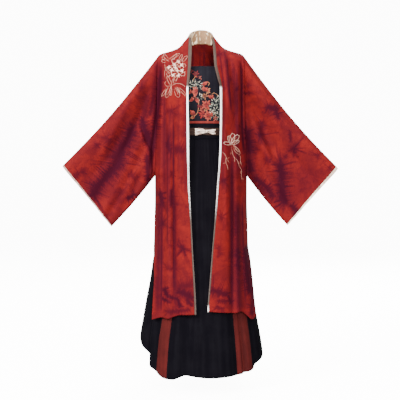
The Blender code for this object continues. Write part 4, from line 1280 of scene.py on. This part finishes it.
@dataclass
class Skirt:
    """The skirt: a waistband, four black panels and two red gores, full and long behind."""

    wrap: WrapForm = field(default_factory=WrapForm)
    cloth: float = 0.0015
    waistband_top_z: float = -0.3134
    waistband_bottom_z: float = -0.376
    fold_top_z: float = -0.62
    hem_z: float = -1.347
    sections: Table = Table(
        ("z", "half_right", "half_left", "front", "back"),
        thousandths((
            (-376.5, 142, 142, 104.5, 88), (-450, 158, 158, 110, 98), (-550, 175, 175, 120, 110),
            (-650, 181, 181, 128, 119), (-750, 184, 184, 135, 127), (-820, 188, 187, 142, 133),
            (-874.5, 201, 195, 149, 140), (-950, 212, 206, 161, 152), (-1050, 231, 223, 178, 167),
            (-1130, 245, 238, 190, 179), (-1205.5, 257, 252, 200, 190),
            (-1350, 264, 274, 215, 205),
        )),
    )
    hem: Table = Table(
        ("degrees", "z"),
        (
            (-180, -1.3), (-140, -1.295), (-110, -1.235), (-90, -1.206), (-70, -1.236),
            (-62, -1.266), (-55, -1.304), (-47, -1.322), (-34, -1.345), (-26, -1.347),
            (-14, -1.33), (8, -1.338), (34, -1.332), (53, -1.318), (58, -1.302), (67, -1.287),
            (88, -1.25), (105, -1.225), (140, -1.29), (180, -1.3),
        ),
    )
    folds: Table = Table(
        ("degrees", "width", "share"),
        (
            (-62, 5, -0.085), (-47, 5, -0.03), (-30, 6, 0.02), (-14, 5, -0.05), (18, 10, 0.015),
            (34, 5, -0.03), (43, 2.6, -0.055), (58, 5, -0.02), (72, 8, 0.02), (110, 9, -0.04),
            (135, 9, 0.03), (160, 9, -0.04), (-172, 9, 0.02), (-148, 9, -0.04), (-120, 9, 0.03),
        ),
    )

    def points(self, turn: Array, z: Array) -> Array:
        """Points at an angle from the front and a height.

        The level section is a quarter ellipse to each side of the front and back. Upright folds
        move its radius by a share that grows down to the hem, and small gathers of a millimetre
        die out below the waistband.
        """
        degrees = np.degrees(turn)
        left = np.sin(turn) >= 0
        halves = (self.sections.read(label, z) for label in ("half_left", "half_right"))
        half = np.where(left, *halves)
        ahead = np.cos(turn) > 0
        depth = np.where(ahead, *(self.sections.read(label, z) for label in ("front", "back")))
        share = np.zeros_like(z)
        for middle, width, most in self.folds.rows:
            share += most * bell((degrees - middle + 180) % 360 - 180, width)
        reach = 1 + share * ease((self.fold_top_z - z) / (self.fold_top_z - self.hem_z))
        down = np.clip((WAIST_Z - z) / 0.16, 0, 1)
        gathers = np.sin(degrees * 0.9) * np.sin(degrees * 0.37 + 1.0)
        gathers = gathers * ease(down * 6) * (1 - down)
        reach = reach + 0.009 * gathers
        x, y = half * np.sin(turn) * reach, -depth * np.cos(turn) * reach
        return np.stack([x, y, z], axis=-1)

    def panel(self, name: str, first: Point, last: Point, columns: int, finish: Finish) -> bpy.types.Object:
        """A panel or gore between two seams.

        Args:
            name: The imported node's name.
            first: The first seam's degrees at the waist and at the hem.
            last: The other seam's.
            columns: How many columns of points.
            finish: What it is made of.

        Returns:
            The panel.
        """
        u, v = parameters(columns, 120)
        row = WAIST_Z + (self.hem_z - WAIST_Z) * v
        start = np.radians(first[0] + (first[1] - first[0]) * v * v)
        stop = np.radians(last[0] + (last[1] - last[0]) * v * v)
        turn = start + (stop - start) * u
        hem = self.hem.read("z", (np.degrees(turn) + 180) % 360 - 180)
        low = ease((self.fold_top_z - row) / (self.fold_top_z - self.hem_z))
        points = self.points(turn, row + low * (hem - self.hem_z))
        flat = np.stack([turn * 0.22, points[..., 2]], axis=-1)
        return sew(name, Grid(points, flat), self.cloth, finish)

    def build(self) -> None:
        """Makes the waistband, the panels and the gores."""
        u, v = parameters(180, 14, around=True)
        z = self.waistband_top_z + (self.waistband_bottom_z - self.waistband_top_z) * v
        flat = np.stack([u * 0.77, z], axis=-1)
        sew("skirt_waistband", Grid(self.wrap.points(2 * math.pi * u, z), flat, True), 0.0018,
            BLACK_CREPE,
            closed=True)
        right_front, left_front = (-25.5, -31.5), (36.0, 34.2)
        right_side, left_side = (-34.5, -46.0), (58.0, 52.5)
        right_back, left_back = (-100.0, -104.0), (100.0, 104.0)
        around = (right_back[0] + 360, right_back[1] + 360)
        black, gore = (BLACK_CREPE, "skirt_black"), (GORE_CREPE, "gore_red")
        for name, first, last, columns, (finish, slot), *cut in (
            ("skirt_front", right_front, left_front, 70, black, 0.3, 0.965, 0.74),
            ("godet_right", right_side, right_front, 24, gore, 0.09, 0.96, 0.45),
            ("godet_left", left_front, left_side, 36, gore, 0.12, 0.96, 0.58),
            ("skirt_side_right", right_back, right_side, 70, black, 0.235, 0.955, 0.76),
            ("skirt_side_left", left_side, left_back, 60, black, 0.19, 0.95, 0.74),
            ("skirt_back", left_back, around, 110, black, 0.64, 0.935, 0.74),
        ):
            self.panel(name, first, last, columns, finish)


@dataclass
class Belt:
    """The belt over the waistband and its bow."""

    wrap: WrapForm = field(default_factory=WrapForm)
    belt_top_z: float = -0.331
    belt_bottom_z: float = -0.361
    belt_cloth: float = 0.0015
    grow: float = 0.0021
    ribbon_cloth: float = 0.0012
    knot_x: float = 0.0245
    knot_y: float = -0.113
    knot_size: tuple[float, float, float] = (0.0032, 0.006, 0.0075)
    knot_gap: float = 0.0006
    right_end_x: float = -0.0245
    left_end_x: float = 0.0605
    pinched: float = 0.006
    puff: float = 0.005
    belt_gap: float = 0.0009

    def loop(self, name: str, end_x: float, knot_x: float, end_height: float, phase: float,
             notch: float) -> bpy.types.Object:
        """One loop of the bow: ribbon out from the knot and back, wide at the end and pinched.

        In plan it is a flat ellipse on the belt's curve. Pleats run out from the knot: sine waves
        across the ribbon that die away towards the end.
        """
        middle, length = (end_x + knot_x) / 2, abs(end_x - knot_x) / 2
        u, v = parameters(96, 40, around=True)
        angle = 2 * math.pi * u
        across = 2 * v - 1
        outward = math.copysign(1.0, end_x - knot_x)
        x = middle + length * np.cos(angle)
        far = np.abs(x - knot_x) / (2 * length)
        x = x - outward * notch * bell(across + 0.1, 0.28) * far**2 * length
        height = self.pinched + (end_height - self.pinched) * ease(far * 1.5)
        belt_y = self.wrap.front_surface(x, np.full_like(x, BOW_Z)) - self.grow
        pleats = np.sin(across * 8.0 + phase + 2.2 * far) + 0.6 * np.sin(across * 17.0 + phase)
        front = np.maximum(np.sin(angle), 0)
        y = belt_y - self.belt_gap - self.puff * (1 + np.sin(angle) * (1 - 0.35 * across**2))
        y = y - 0.0019 * pleats * (1.1 - far) * front
        droop = 0.0012 * np.sin(4 * far + phase)
        z = BOW_Z + height * across * (1 - 0.1 * front * far) + droop
        flat = np.stack([u * 4 * length, across * end_height], axis=-1)
        grid = Grid(np.stack([x, y, z], axis=-1), flat, True)
        return sew(name, grid, self.ribbon_cloth, BOW_SATIN, closed=True)

    def knot(self) -> bpy.types.Object:
        """The knot: a rounded lump of ribbon with two soft pleats running round it.

        It is a ball of unequal radii, whose radius is moved by a sine wave of the height.
        """
        u, v = parameters(40, 21, around=True)
        turn, rise = 2 * math.pi * u, math.pi * (v - 0.5)
        pleat = 1 + 0.06 * np.sin(5 * v * math.pi) * np.cos(rise)
        level = np.cos(rise)
        ball = np.stack([level * np.cos(turn), level * np.sin(turn), np.sin(rise)], axis=-1)
        centre = np.array([self.knot_x, self.knot_y, BOW_Z])
        points = centre + ball * pleat[..., None] * np.array(self.knot_size)
        rows, columns = u.shape
        inner = quads(rows - 2, columns, True)
        around = np.arange(columns)
        after = (around + 1) % columns
        count = (rows - 2) * columns
        low_cap = np.stack([np.full(columns, count), after, around], axis=1)
        top = (rows - 3) * columns
        high_cap = np.stack([np.full(columns, count + 1), top + around, top + after], axis=1)
        mesh = bpy.data.meshes.new("bow_knot_cloth")
        stack = np.concatenate([points[1:-1].reshape(-1, 3), points[0, :1], points[-1, :1]])
        mesh.from_pydata(stack.tolist(), [], inner.tolist() + low_cap.tolist() + high_cap.tolist())
        layer = mesh.uv_layers.new(name="flat")
        corners = stack[np.array([loop.vertex_index for loop in mesh.loops])][:, (2, 0)]
        layer.data.foreach_set("uv", corners.astype(np.float32).ravel())
        mesh.shade_smooth()
        mesh.materials.append(BOW_SATIN.material())
        piece = bpy.data.objects.new("bow_knot_cloth", mesh)
        bpy.context.scene.collection.objects.link(piece)
        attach(piece, "root")
        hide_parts("bow_knot")
        log.info("bow_knot: %d points", len(stack))
        return piece

    def build(self) -> None:
        """Makes the belt, the knot and the two loops."""
        u, v = parameters(180, 12, around=True)
        z = self.belt_top_z + (self.belt_bottom_z - self.belt_top_z) * v
        points = self.wrap.points(2 * math.pi * u, z, self.grow)
        ripple = 0.0006 * np.sin(math.pi * v * 5 + 3 * np.sin(2 * math.pi * u)) * (v > 0) * (v < 1)
        points[..., 1] -= ripple * np.maximum(np.cos(2 * math.pi * u), 0)
        flat = np.stack([z, u * 0.78], axis=-1)[..., ::-1]
        sew("belt", Grid(points, flat, True), self.belt_cloth, BELT_SATIN,
            closed=True)
        half = self.knot_size[0] + self.knot_gap
        self.loop("bow_right", self.right_end_x, self.knot_x - half, 0.0138, 0.4, 0.06)
        self.loop("bow_left", self.left_end_x, self.knot_x + half, 0.0104, 2.0, 0.45)
        self.knot()


class Palette(Enum):
    """Colours of floss."""

    BLUSH = (0.36, 0.12, 0.08)
    ROSE = (0.56, 0.3, 0.215)
    PEARL = (0.86, 0.6, 0.47)
    CORAL = (0.2, 0.014, 0.0125)
    FLAME = (0.36, 0.052, 0.03)
    DARK_RED = (0.052, 0.0065, 0.008)
    GOLD = (0.44, 0.19, 0.08)
    SILVER = (0.3, 0.33, 0.26)
    SAGE = (0.04, 0.046, 0.038)


@dataclass(frozen=True)
class Line:
    """A line of stitches on the cloth, its width and its colour."""

    path: Array
    width: float
    tint: Color


@dataclass(frozen=True)
class Petal:
    """A filled petal or leaf: its root, the way it points, its sizes and its two colours."""

    root: Point
    degrees: float
    length: float
    width: float
    inner: Color
    outer: Color
    roundness: float = 0.7


def flowing(points: Sequence[Point], count: int = 40) -> Array:
    """A smooth curve through points, each coordinate read smoothly against the length passed."""
    known = np.array(points, float)
    passed = np.concatenate([[0.0], np.cumsum(np.hypot(*np.diff(known, axis=0).T))])
    at = np.linspace(0, passed[-1], count)
    return np.stack([smooth(at, passed, known[:, axis]) for axis in range(2)], axis=1)


def turned(local: Array, root: Point, degrees: float) -> Array:
    """Turns local points, along and across, to a direction and moves them to a root."""
    turn = math.radians(degrees)
    along, across = local[..., 0], local[..., 1]
    x = root[0] + along * math.cos(turn) - across * math.sin(turn)
    z = root[1] + along * math.sin(turn) + across * math.cos(turn)
    return np.stack([x, z], axis=-1)


def outline(root: Point, degrees: float, length: float, width: float, ruffle: float = 0.0,
            open_share: float = 0.0) -> Array:
    """The outline of a petal or leaf as a loop from its root, pointed at its tip.

    Along it the loop is a cosine, and across it a sine that swells past the middle and narrows
    again at the tip; a ruffle adds small waves to the far edge.

    Args:
        root: Where the loop starts and ends.
        degrees: The way it points; 0 is towards +x and 90 is up.
        length: Its length.
        width: Its greatest width.
        ruffle: The waves' height as a share of the length.
        open_share: How much of the loop is left out at its end.

    Returns:
        Forty points of x and z.
    """
    t = np.linspace(0, 1 - open_share, 40)
    far = (1 - np.cos(2 * math.pi * t)) / 2
    along = length * (far + ruffle * np.sin(11 * math.pi * t) * far)
    across = width / 2 * np.sin(2 * math.pi * t) * (0.7 + 0.75 * far - 0.45 * far**4)
    return turned(np.stack([along, across], axis=-1), root, degrees)


def leaf_lines(root: Point, degrees: float, length: float, width: float, line: float,
               tint: Color) -> list[Line]:
    """A leaf drawn in lines: an outline that doesn't quite close, and a midrib if it is wide."""
    rib = flowing(((0, 0), (length * 0.5, width * 0.07), (length * 0.8, 0)))
    lines = [Line(outline(root, degrees, length, width, 0.0, 0.12), line, tint)]
    if width > 0.012:
        lines.append(Line(turned(rib, root, degrees), line * 0.8, tint))
    return lines


def stems(width: float, tint: Color, *paths: tuple[Point, ...]) -> list[Line]:
    """Flowing lines of one width and colour, through paths given in millimetres."""
    return [Line(flowing(thousandths(path)), width, tint) for path in paths]


@dataclass
class Embroidery:
    """A motif of raised floss on a surface whose y is known at any x and z."""

    name: str
    surface: Height
    lines: list[Line] = field(default_factory=list)
    petals: list[Petal] = field(default_factory=list)
    lift: float = 0.0003
    height: float = 0.0007

    def _normal(self, x: Array, z: Array) -> Array:
        """The surface's outward normal, from its slopes over half a millimetre."""
        step = 0.0005
        slope_x = (self.surface(x + step, z) - self.surface(x - step, z)) / (2 * step)
        slope_z = (self.surface(x, z + step) - self.surface(x, z - step)) / (2 * step)
        normal = np.stack([slope_x, -np.ones_like(x), slope_z], axis=-1)
        return normal / np.linalg.norm(normal, axis=-1, keepdims=True)

    def _threads(self) -> tuple[Array, Array, Array, Array]:
        """Every line as a flattened tube of eight sides, which narrows at both ends.

        Returns:
            The points, the faces, the tints and the stitch counts.
        """
        paths = np.stack([line.path for line in self.lines])
        x, z = paths[..., 0], paths[..., 1]
        widths = np.array([line.width for line in self.lines])
        step = np.gradient(paths, axis=1)
        step /= np.maximum(np.linalg.norm(step, axis=-1, keepdims=True), 1e-9)
        share = np.linspace(0, 1, paths.shape[1])
        taper = np.maximum(np.minimum(ease(share * 6), ease((1 - share) * 6)), 0.22)
        half = widths[:, None] / 2 * taper
        angle = np.arange(8) * math.pi / 4
        reach = half[..., None] * np.cos(angle)
        ring_x = x[..., None] - step[..., 1:2] * reach
        ring_z = z[..., None] + step[..., 0:1] * reach
        rise = self.lift + self.height * (0.5 + 0.5 * np.sin(angle)) * taper[None, :, None]
        base = np.stack([ring_x, self.surface(ring_x, ring_z), ring_z], axis=-1)
        points = base + self._normal(ring_x, ring_z) * rise[..., None]
        strokes, length = x.shape
        one = quads(length, 8, True)
        caps = np.array([[0, 1, 2, 3], [0, 3, 4, 7], [4, 5, 6, 7]])
        ends = np.concatenate([caps[:, ::-1], caps + (length - 1) * 8])
        block = np.concatenate([one, ends])
        faces = (block[None] + (np.arange(strokes) * length * 8)[:, None, None]).reshape(-1, 4)
        tints = np.array([(*line.tint, 1.0) for line in self.lines])
        tint = np.broadcast_to(tints[:, None, None], (*points.shape[:3], 4))
        moved = np.linalg.norm(np.diff(paths, axis=1, prepend=paths[:, :1]), axis=-1)
        count = np.broadcast_to((np.cumsum(moved, axis=1) / 0.0011)[..., None], points.shape[:3])
        return points.reshape(-1, 3), faces, tint.reshape(-1, 4), count.ravel()

    def _fills(self) -> tuple[Array, Array, Array, Array]:
        """Every petal as a low dome of satin stitch, a grid from its root to its tip.

        Its half width is a sine of a power of the share along it. Its colour goes from the inner
        one at the root to the outer one at the tip and along the rim.

        Returns:
            The points, the faces, the tints and the stitch counts.
        """
        rows, columns = 12, 9
        across, along = np.meshgrid(np.linspace(-1, 1, columns), np.linspace(0.02, 0.98, rows))
        local, tints, counts = [], [], []
        for petal in self.petals:
            half = petal.width / 2 * np.sin(math.pi * along**petal.roundness) ** 0.75
            shape = np.stack([petal.length * along, half * across], axis=-1)
            local.append(turned(shape, petal.root, petal.degrees))
            rim = np.clip(ease(along * 1.4 - 0.4) * 0.8 + np.abs(across) ** 4 * 0.6, 0, 1)
            rim = rim[..., None]
            tints.append(np.array(petal.inner) * (1 - rim) + np.array(petal.outer) * rim)
            counts.append(across * half / 0.0009 + along * 0.5)
        flat = np.stack(local)
        x, z = flat[..., 0], flat[..., 1]
        order = np.arange(len(self.petals))[:, None, None]
        dome = (1 - across**2) * np.sqrt(np.sin(math.pi * along)) * 0.0011
        rise = self.lift + dome + 0.00018 * (order % 5)
        base = np.stack([x, self.surface(x, z), z], axis=-1)
        points = base + self._normal(x, z) * rise[..., None]
        block = quads(rows, columns, False)
        faces = (block[None] + (order * rows * columns)).reshape(-1, 4)
        tint = np.concatenate([np.stack(tints), np.ones((*x.shape, 1))], axis=-1)
        return points.reshape(-1, 3), faces, tint.reshape(-1, 4), np.stack(counts).ravel()

    def build(self, slot: str) -> bpy.types.Object:
        """Joins the petals and lines into one mesh that stands a little proud of the cloth."""
        parts = [part for part in (self._fills() if self.petals else None,
                                   self._threads() if self.lines else None) if part]
        offsets = np.cumsum([0] + [len(part[0]) for part in parts])
        points = np.concatenate([part[0] for part in parts])
        faces = np.concatenate([part[1] + start for part, start in zip(parts, offsets)])
        attributes = {"tint": np.concatenate([part[2] for part in parts]),
                      "stitch": np.concatenate([part[3] for part in parts])}
        piece = make_mesh(self.name, points, faces, attributes)
        piece.data.materials.append(FLOSS.material())
        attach(piece, "root")
        log.info("%s: %d points, %d petals, %d lines", self.name, len(points), len(self.petals),
                 len(self.lines))
        return piece


def shoulder_flower(surface: Height) -> Embroidery:
    """A peony in pale floss on the right front, with leaves above and a spray below.

    Ten patches of four petals fill its middle, small petals lie round them in a spiral, and open
    outlines of ruffled petals lie over both.
    """
    chance = np.random.default_rng(7)
    blush, pearl, rose = Palette.BLUSH.value, Palette.PEARL.value, Palette.ROSE.value
    width = 0.001
    centre = (-0.1, -0.092)
    lines: list[Line] = []
    petals: list[Petal] = []
    for index, patch in enumerate((
        (-131, -83), (-79, -74), (-96, -97), (-114, -115), (-91, -117), (-109, -72), (-93, -60),
        (-119, -96), (-77, -99), (-104, -85),
    )):
        for petal in range(4):
            degrees = index * 50 + petal * 84
            petals.append(Petal(thousandths(patch), degrees, 0.01, 0.0042, pearl, rose, 0.8))
    for index in range(34):
        degrees = index * 137.5
        root = tuple(turned(np.array([0.037 * math.sqrt(index / 34), 0.0]), centre, degrees))
        petals.append(Petal(root, degrees + chance.uniform(35, 125), chance.uniform(0.007, 0.012),
                            0.0028, rose, blush, 0.8))
    for index in range(7):
        degrees = 15 + index * 51 + chance.uniform(-12, 12)
        root = tuple(turned(np.array([0.024, 0.0]), centre, degrees))
        length = chance.uniform(0.016, 0.022)
        lines.append(Line(outline(root, degrees, length, length * 0.8, 0.07,
                                  chance.uniform(0.1, 0.35)), width, rose))
    for root, degrees, length, leaf_width in (
        ((-130, -58), 128, 40, 10), ((-132, -52), 32, 52, 10), ((-122, -58), 55, 40, 8),
        ((-90, -56), 66, 30, 9), ((-78, -62), 52, 34, 11), ((-144, -62), 150, 20, 10),
        ((-122, -158), 112, 42, 10), ((-112, -152), 66, 36, 10), ((-122, -160), 246, 50, 17),
        ((-122, -160), 268, 38, 8), ((-106, -166), 292, 44, 17), ((-90, -168), 312, 48, 8),
        ((-134, -160), 236, 48, 8), ((-100, -164), 300, 30, 6),
    ):
        root, length, leaf_width = thousandths((root, length, leaf_width))
        lines += leaf_lines(root, degrees, length, leaf_width, width, rose)
    lines += stems(
        width, rose,
        ((-150, -64), (-146, -90), (-149, -108), (-147, -128)),
        ((-108, -120), (-118, -140), (-121, -160), (-129, -180)),
        ((-121, -160), (-100, -151), (-80, -154), (-60, -168)),
        ((-121, -160), (-138, -160), (-148, -148), (-142, -136)),
        ((-146, -46), (-157, -50), (-160, -38), (-150, -28)),
        ((-142, -196), (-146, -180), (-138, -170)),
    )
    return Embroidery("shoulder_flower", surface, lines, petals)


def hip_flower(surface: Height) -> Embroidery:
    """An orchid in fine pale lines on the left front, with two thin trailing stems."""
    blush, pearl, rose = Palette.BLUSH.value, Palette.PEARL.value, Palette.ROSE.value
    width = 0.001
    lines: list[Line] = []
    root = (0.122, -0.398)
    for degrees, length, petal_width, ruffle, left_out in (
        (104, 0.036, 0.014, 0.03, 0.1), (78, 0.046, 0.019, 0.04, 0.0),
        (50, 0.05, 0.019, 0.04, 0.1), (24, 0.038, 0.013, 0.03, 0.0),
    ):
        lines.append(Line(outline(root, degrees, length, petal_width, ruffle, left_out), width,
                          pearl))
        rib = flowing(((0.006, 0), (length * 0.5, 0.0025), (length * 0.85, 0)))
        lines.append(Line(turned(rib, root, degrees), width * 0.8, blush))
    lines += leaf_lines(root, 168, 0.03, 0.011, width, pearl)
    lines += leaf_lines((0.131, -0.402), -52, 0.046, 0.016, width, rose)
    lines += leaf_lines((0.131, -0.402), -46, 0.036, 0.007, width, rose)
    lines += leaf_lines(root, 60, 0.03, 0.006, width, rose)
    lines += stems(
        width * 0.9, rose,
        (
            (122, -400), (127, -425), (133, -446), (150, -466), (156, -486), (166, -503),
            (166, -520), (170, -552),
        ), ((133, -446), (138, -456), (137, -470)),
        ((156, -442), (163, -452), (162, -468), (168, -484)),
        ((86.5, -427.5), (97, -440), (104, -456), (115, -474)),
        ((101, -450), (101, -470), (106, -484), (110, -503)),
    )
    for root, degrees in (
        ((0.127, -0.428), 235), ((0.15, -0.466), 300), ((0.166, -0.505), 250),
        ((0.168, -0.534), 300), ((0.104, -0.456), 20), ((0.101, -0.47), 210),
    ):
        lines.append(Line(outline(root, degrees, 0.012, 0.004), width * 0.7, blush))
    return Embroidery("hip_flower", surface, lines)


def fan(centre: Point, size: float, petals: int, start: float, turn: float, inner: Color,
        outer: Color) -> list[Petal]:
    """A filled flower: pointed petals over a turn, every other one shorter with a dark root."""
    step = turn / petals
    dark = Palette.DARK_RED.value
    return [Petal(centre, start + index * step, size * (1.0 if index % 2 else 0.78), size * 0.32,
                  inner if index % 2 else dark, outer, 0.9) for index in range(petals)]


def chest_flowers(surface: Height) -> Embroidery:
    """Coral lilies and silver sprays that run down across the wrap, with gold stems.

    Petals with a flame tip are outlined in blush.
    """
    chance = np.random.default_rng(3)
    coral, flame, gold = Palette.CORAL.value, Palette.FLAME.value, Palette.GOLD.value
    dark, silver, sage = Palette.DARK_RED.value, Palette.SILVER.value, Palette.SAGE.value
    petals: list[Petal] = []
    for x, z, reach, count in (
        (-30, -153, 16, 16), (-6, -158, 13, 12), (-44, -160, 11, 10), (-2, -206, 10, 8),
        (58, -226, 14, 14), (50, -247, 13, 14), (64, -262, 14, 14), (50, -276, 11, 10),
        (70, -212, 10, 8), (68, -284, 10, 8),
    ):
        x, z, reach = thousandths((x, z, reach))
        for index in range(count):
            degrees = index * 137.5
            out = reach * math.sqrt(index / count)
            root = tuple(turned(np.array([out, 0.0]), (x, z), degrees))
            tints = (sage, silver) if index % 3 else (silver, Palette.PEARL.value)
            degrees += chance.uniform(-60, 60)
            petals.append(Petal(root, degrees, 0.0085, 0.003, *tints, 0.8))
    for x, z, size, count, start, turn, inner, outer in (
        (-20, -112, 17, 6, 10, 330, dark, coral), (-37, -100, 10, 4, 20, 300, dark, coral),
        (-2, -126, 10, 4, 60, 300, dark, flame), (2, -157, 30, 2, 12, 26, coral, flame),
        (-14, -184, 28, 6, 110, 150, coral, flame), (12, -182, 21, 5, 20, 120, coral, flame),
        (22, -180, 19, 4, -60, 120, coral, gold), (16, -203, 16, 6, 0, 330, dark, gold),
        (-34, -222, 17, 4, 60, 150, coral, flame), (-22, -208, 26, 3, 285, 45, coral, flame),
        (-4, -238, 16, 4, 200, 150, dark, coral), (22, -238, 23, 8, 10, 330, coral, flame),
        (8, -257, 15, 5, 150, 200, dark, flame), (-24, -281, 30, 3, 115, 50, coral, flame),
        (-26, -288, 18, 3, 170, 60, coral, gold), (6, -276, 20, 7, 20, 320, coral, coral),
        (31, -281, 24, 9, 0, 330, coral, flame), (47, -272, 14, 3, 200, 90, coral, flame),
        (60, -293, 13, 5, 30, 330, coral, flame), (40, -212, 18, 4, 20, 140, coral, flame),
        (-42, -190, 16, 4, 40, 200, coral, flame),
    ):
        x, z, size = thousandths((x, z, size))
        petals += fan((x, z), size, count, start, turn, inner, outer)
    lines = stems(
        0.0016, gold,
        ((-24, -206), (-9, -238), (-14, -268), (-40, -296)),
        ((42, -198), (52, -189), (62, -193), (75, -208)),
        ((28, -144), (34, -150), (30, -160)), ((-18, -118), (-30, -132), (-36, -146)),
        ((20, -250), (12, -262), (30, -256)), ((50, -262), (60, -280), (60, -292)),
    )
    lines += [Line(outline(petal.root, petal.degrees, petal.length, petal.width, 0.0, 0.5), 0.0008,
                   Palette.BLUSH.value) for petal in petals if petal.outer == flame]
    return Embroidery("chest_flowers", surface, lines, petals)


def facing(name: str, data: Any, at: Sequence[float],
           target: Sequence[float]) -> bpy.types.Object:
    """Puts a lamp or a camera in the scene so that it faces a target."""
    placed = bpy.data.objects.new(name, data)
    placed.location = at
    way = Vector(target) - Vector(at)
    placed.rotation_euler = way.to_track_quat("-Z", "Y").to_euler()
    bpy.context.scene.collection.objects.link(placed)
    return placed


@dataclass
class Studio:
    """A round pale studio with soft lights, and the camera."""

    camera_at: tuple[float, float, float] = (-0.004, -4.0, -0.45)
    aim: tuple[float, float, float] = (-0.004, 0.0, -0.63)
    focal_mm: float = 85.8
    sensor_mm: float = 36.0
    floor_z: float = -1.405
    radius: float = 8.0
    rise: float = 4.5
    glow: float = 11.0
    air: float = 1.15
    lamps: tuple[tuple[str, tuple[float, float, float], float, float], ...] = (
        ("key", (-3.1, -2.7, 1.4), 1.4, 420.0), ("fill", (0.5, -4.5, 0.4), 1.8, 385.0),
        ("rear", (0.8, 3.6, 1.4), 2.6, 420.0), ("overhead", (0.0, -0.4, 2.6), 2.4, 130.0),
    )

    def backdrop(self) -> bpy.types.Object:
        """A flat floor that curves up into a wall and a dome: a turned superellipse.

        It is seen by the camera alone, so that it doesn't light the garment.
        """
        u, v = parameters(96, 72, around=True)
        climb = math.pi * (v - 0.5)
        out = self.radius * np.cos(climb).clip(0) ** (1 / 3)
        up = self.rise * np.sign(np.sin(climb)) * np.abs(np.sin(climb)) ** (1 / 3)
        turn = 2 * math.pi * u
        z = self.floor_z + self.rise + up
        points = np.stack([out * np.cos(turn), out * np.sin(turn), z], axis=-1)
        faces = quads(*u.shape, True)[:, ::-1]
        piece = make_mesh("studio", points.reshape(-1, 3), faces, {})
        paint = Paint("studio_white", {
            "Base Color": (0.85, 0.85, 0.85, 1.0), "Roughness": 0.9,
            "Emission Color": (1.0, 0.995, 0.985, 1.0), "Emission Strength": self.glow})
        piece.data.materials.append(paint.material)
        piece.visible_diffuse = False
        piece.visible_glossy = False
        piece.visible_shadow = False
        return piece

    def light(self, name: str, at: Sequence[float], size: float, watts: float) -> None:
        """A square soft light that faces the garment's middle."""
        lamp = bpy.data.lights.new(name, "AREA")
        lamp.size = size
        lamp.energy = watts
        facing(name, lamp, at, (0.0, 0.0, -0.6))

    def build(self) -> None:
        """Makes the backdrop, the world's even light, the lamps and the camera."""
        self.backdrop()
        world = bpy.data.worlds.new("studio_air")
        world.use_nodes = True
        background = world.node_tree.nodes["Background"]
        background.inputs["Color"].default_value = (1.0, 1.0, 1.0, 1.0)
        background.inputs["Strength"].default_value = self.air
        bpy.context.scene.world = world
        for name, at, size, watts in self.lamps:
            self.light(name, at, size, watts)
        lens = bpy.data.cameras.new("camera")
        lens.lens = self.focal_mm
        lens.sensor_width = self.sensor_mm
        bpy.context.scene.camera = facing("camera", lens, self.camera_at, self.aim)


def main() -> None:
    """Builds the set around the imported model."""
    logging.basicConfig(level=logging.INFO, format="%(message)s")
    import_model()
    Studio().build()
    robe, wrap = RobeForm(), WrapForm()
    shoulder = shoulder_flower(robe.front_surface).build("bow_cream")
    hip = hip_flower(robe.front_surface).build("bow_cream")
    chest = chest_flowers(wrap.front_surface).build("wrap_red")
    Robe(robe).build({Side.RIGHT: [shoulder], Side.LEFT: [hip]})
    ChestWrap(wrap).build([chest])
    Skirt(wrap).build()
    Belt(wrap).build()


if __name__ == "__main__":
    main()
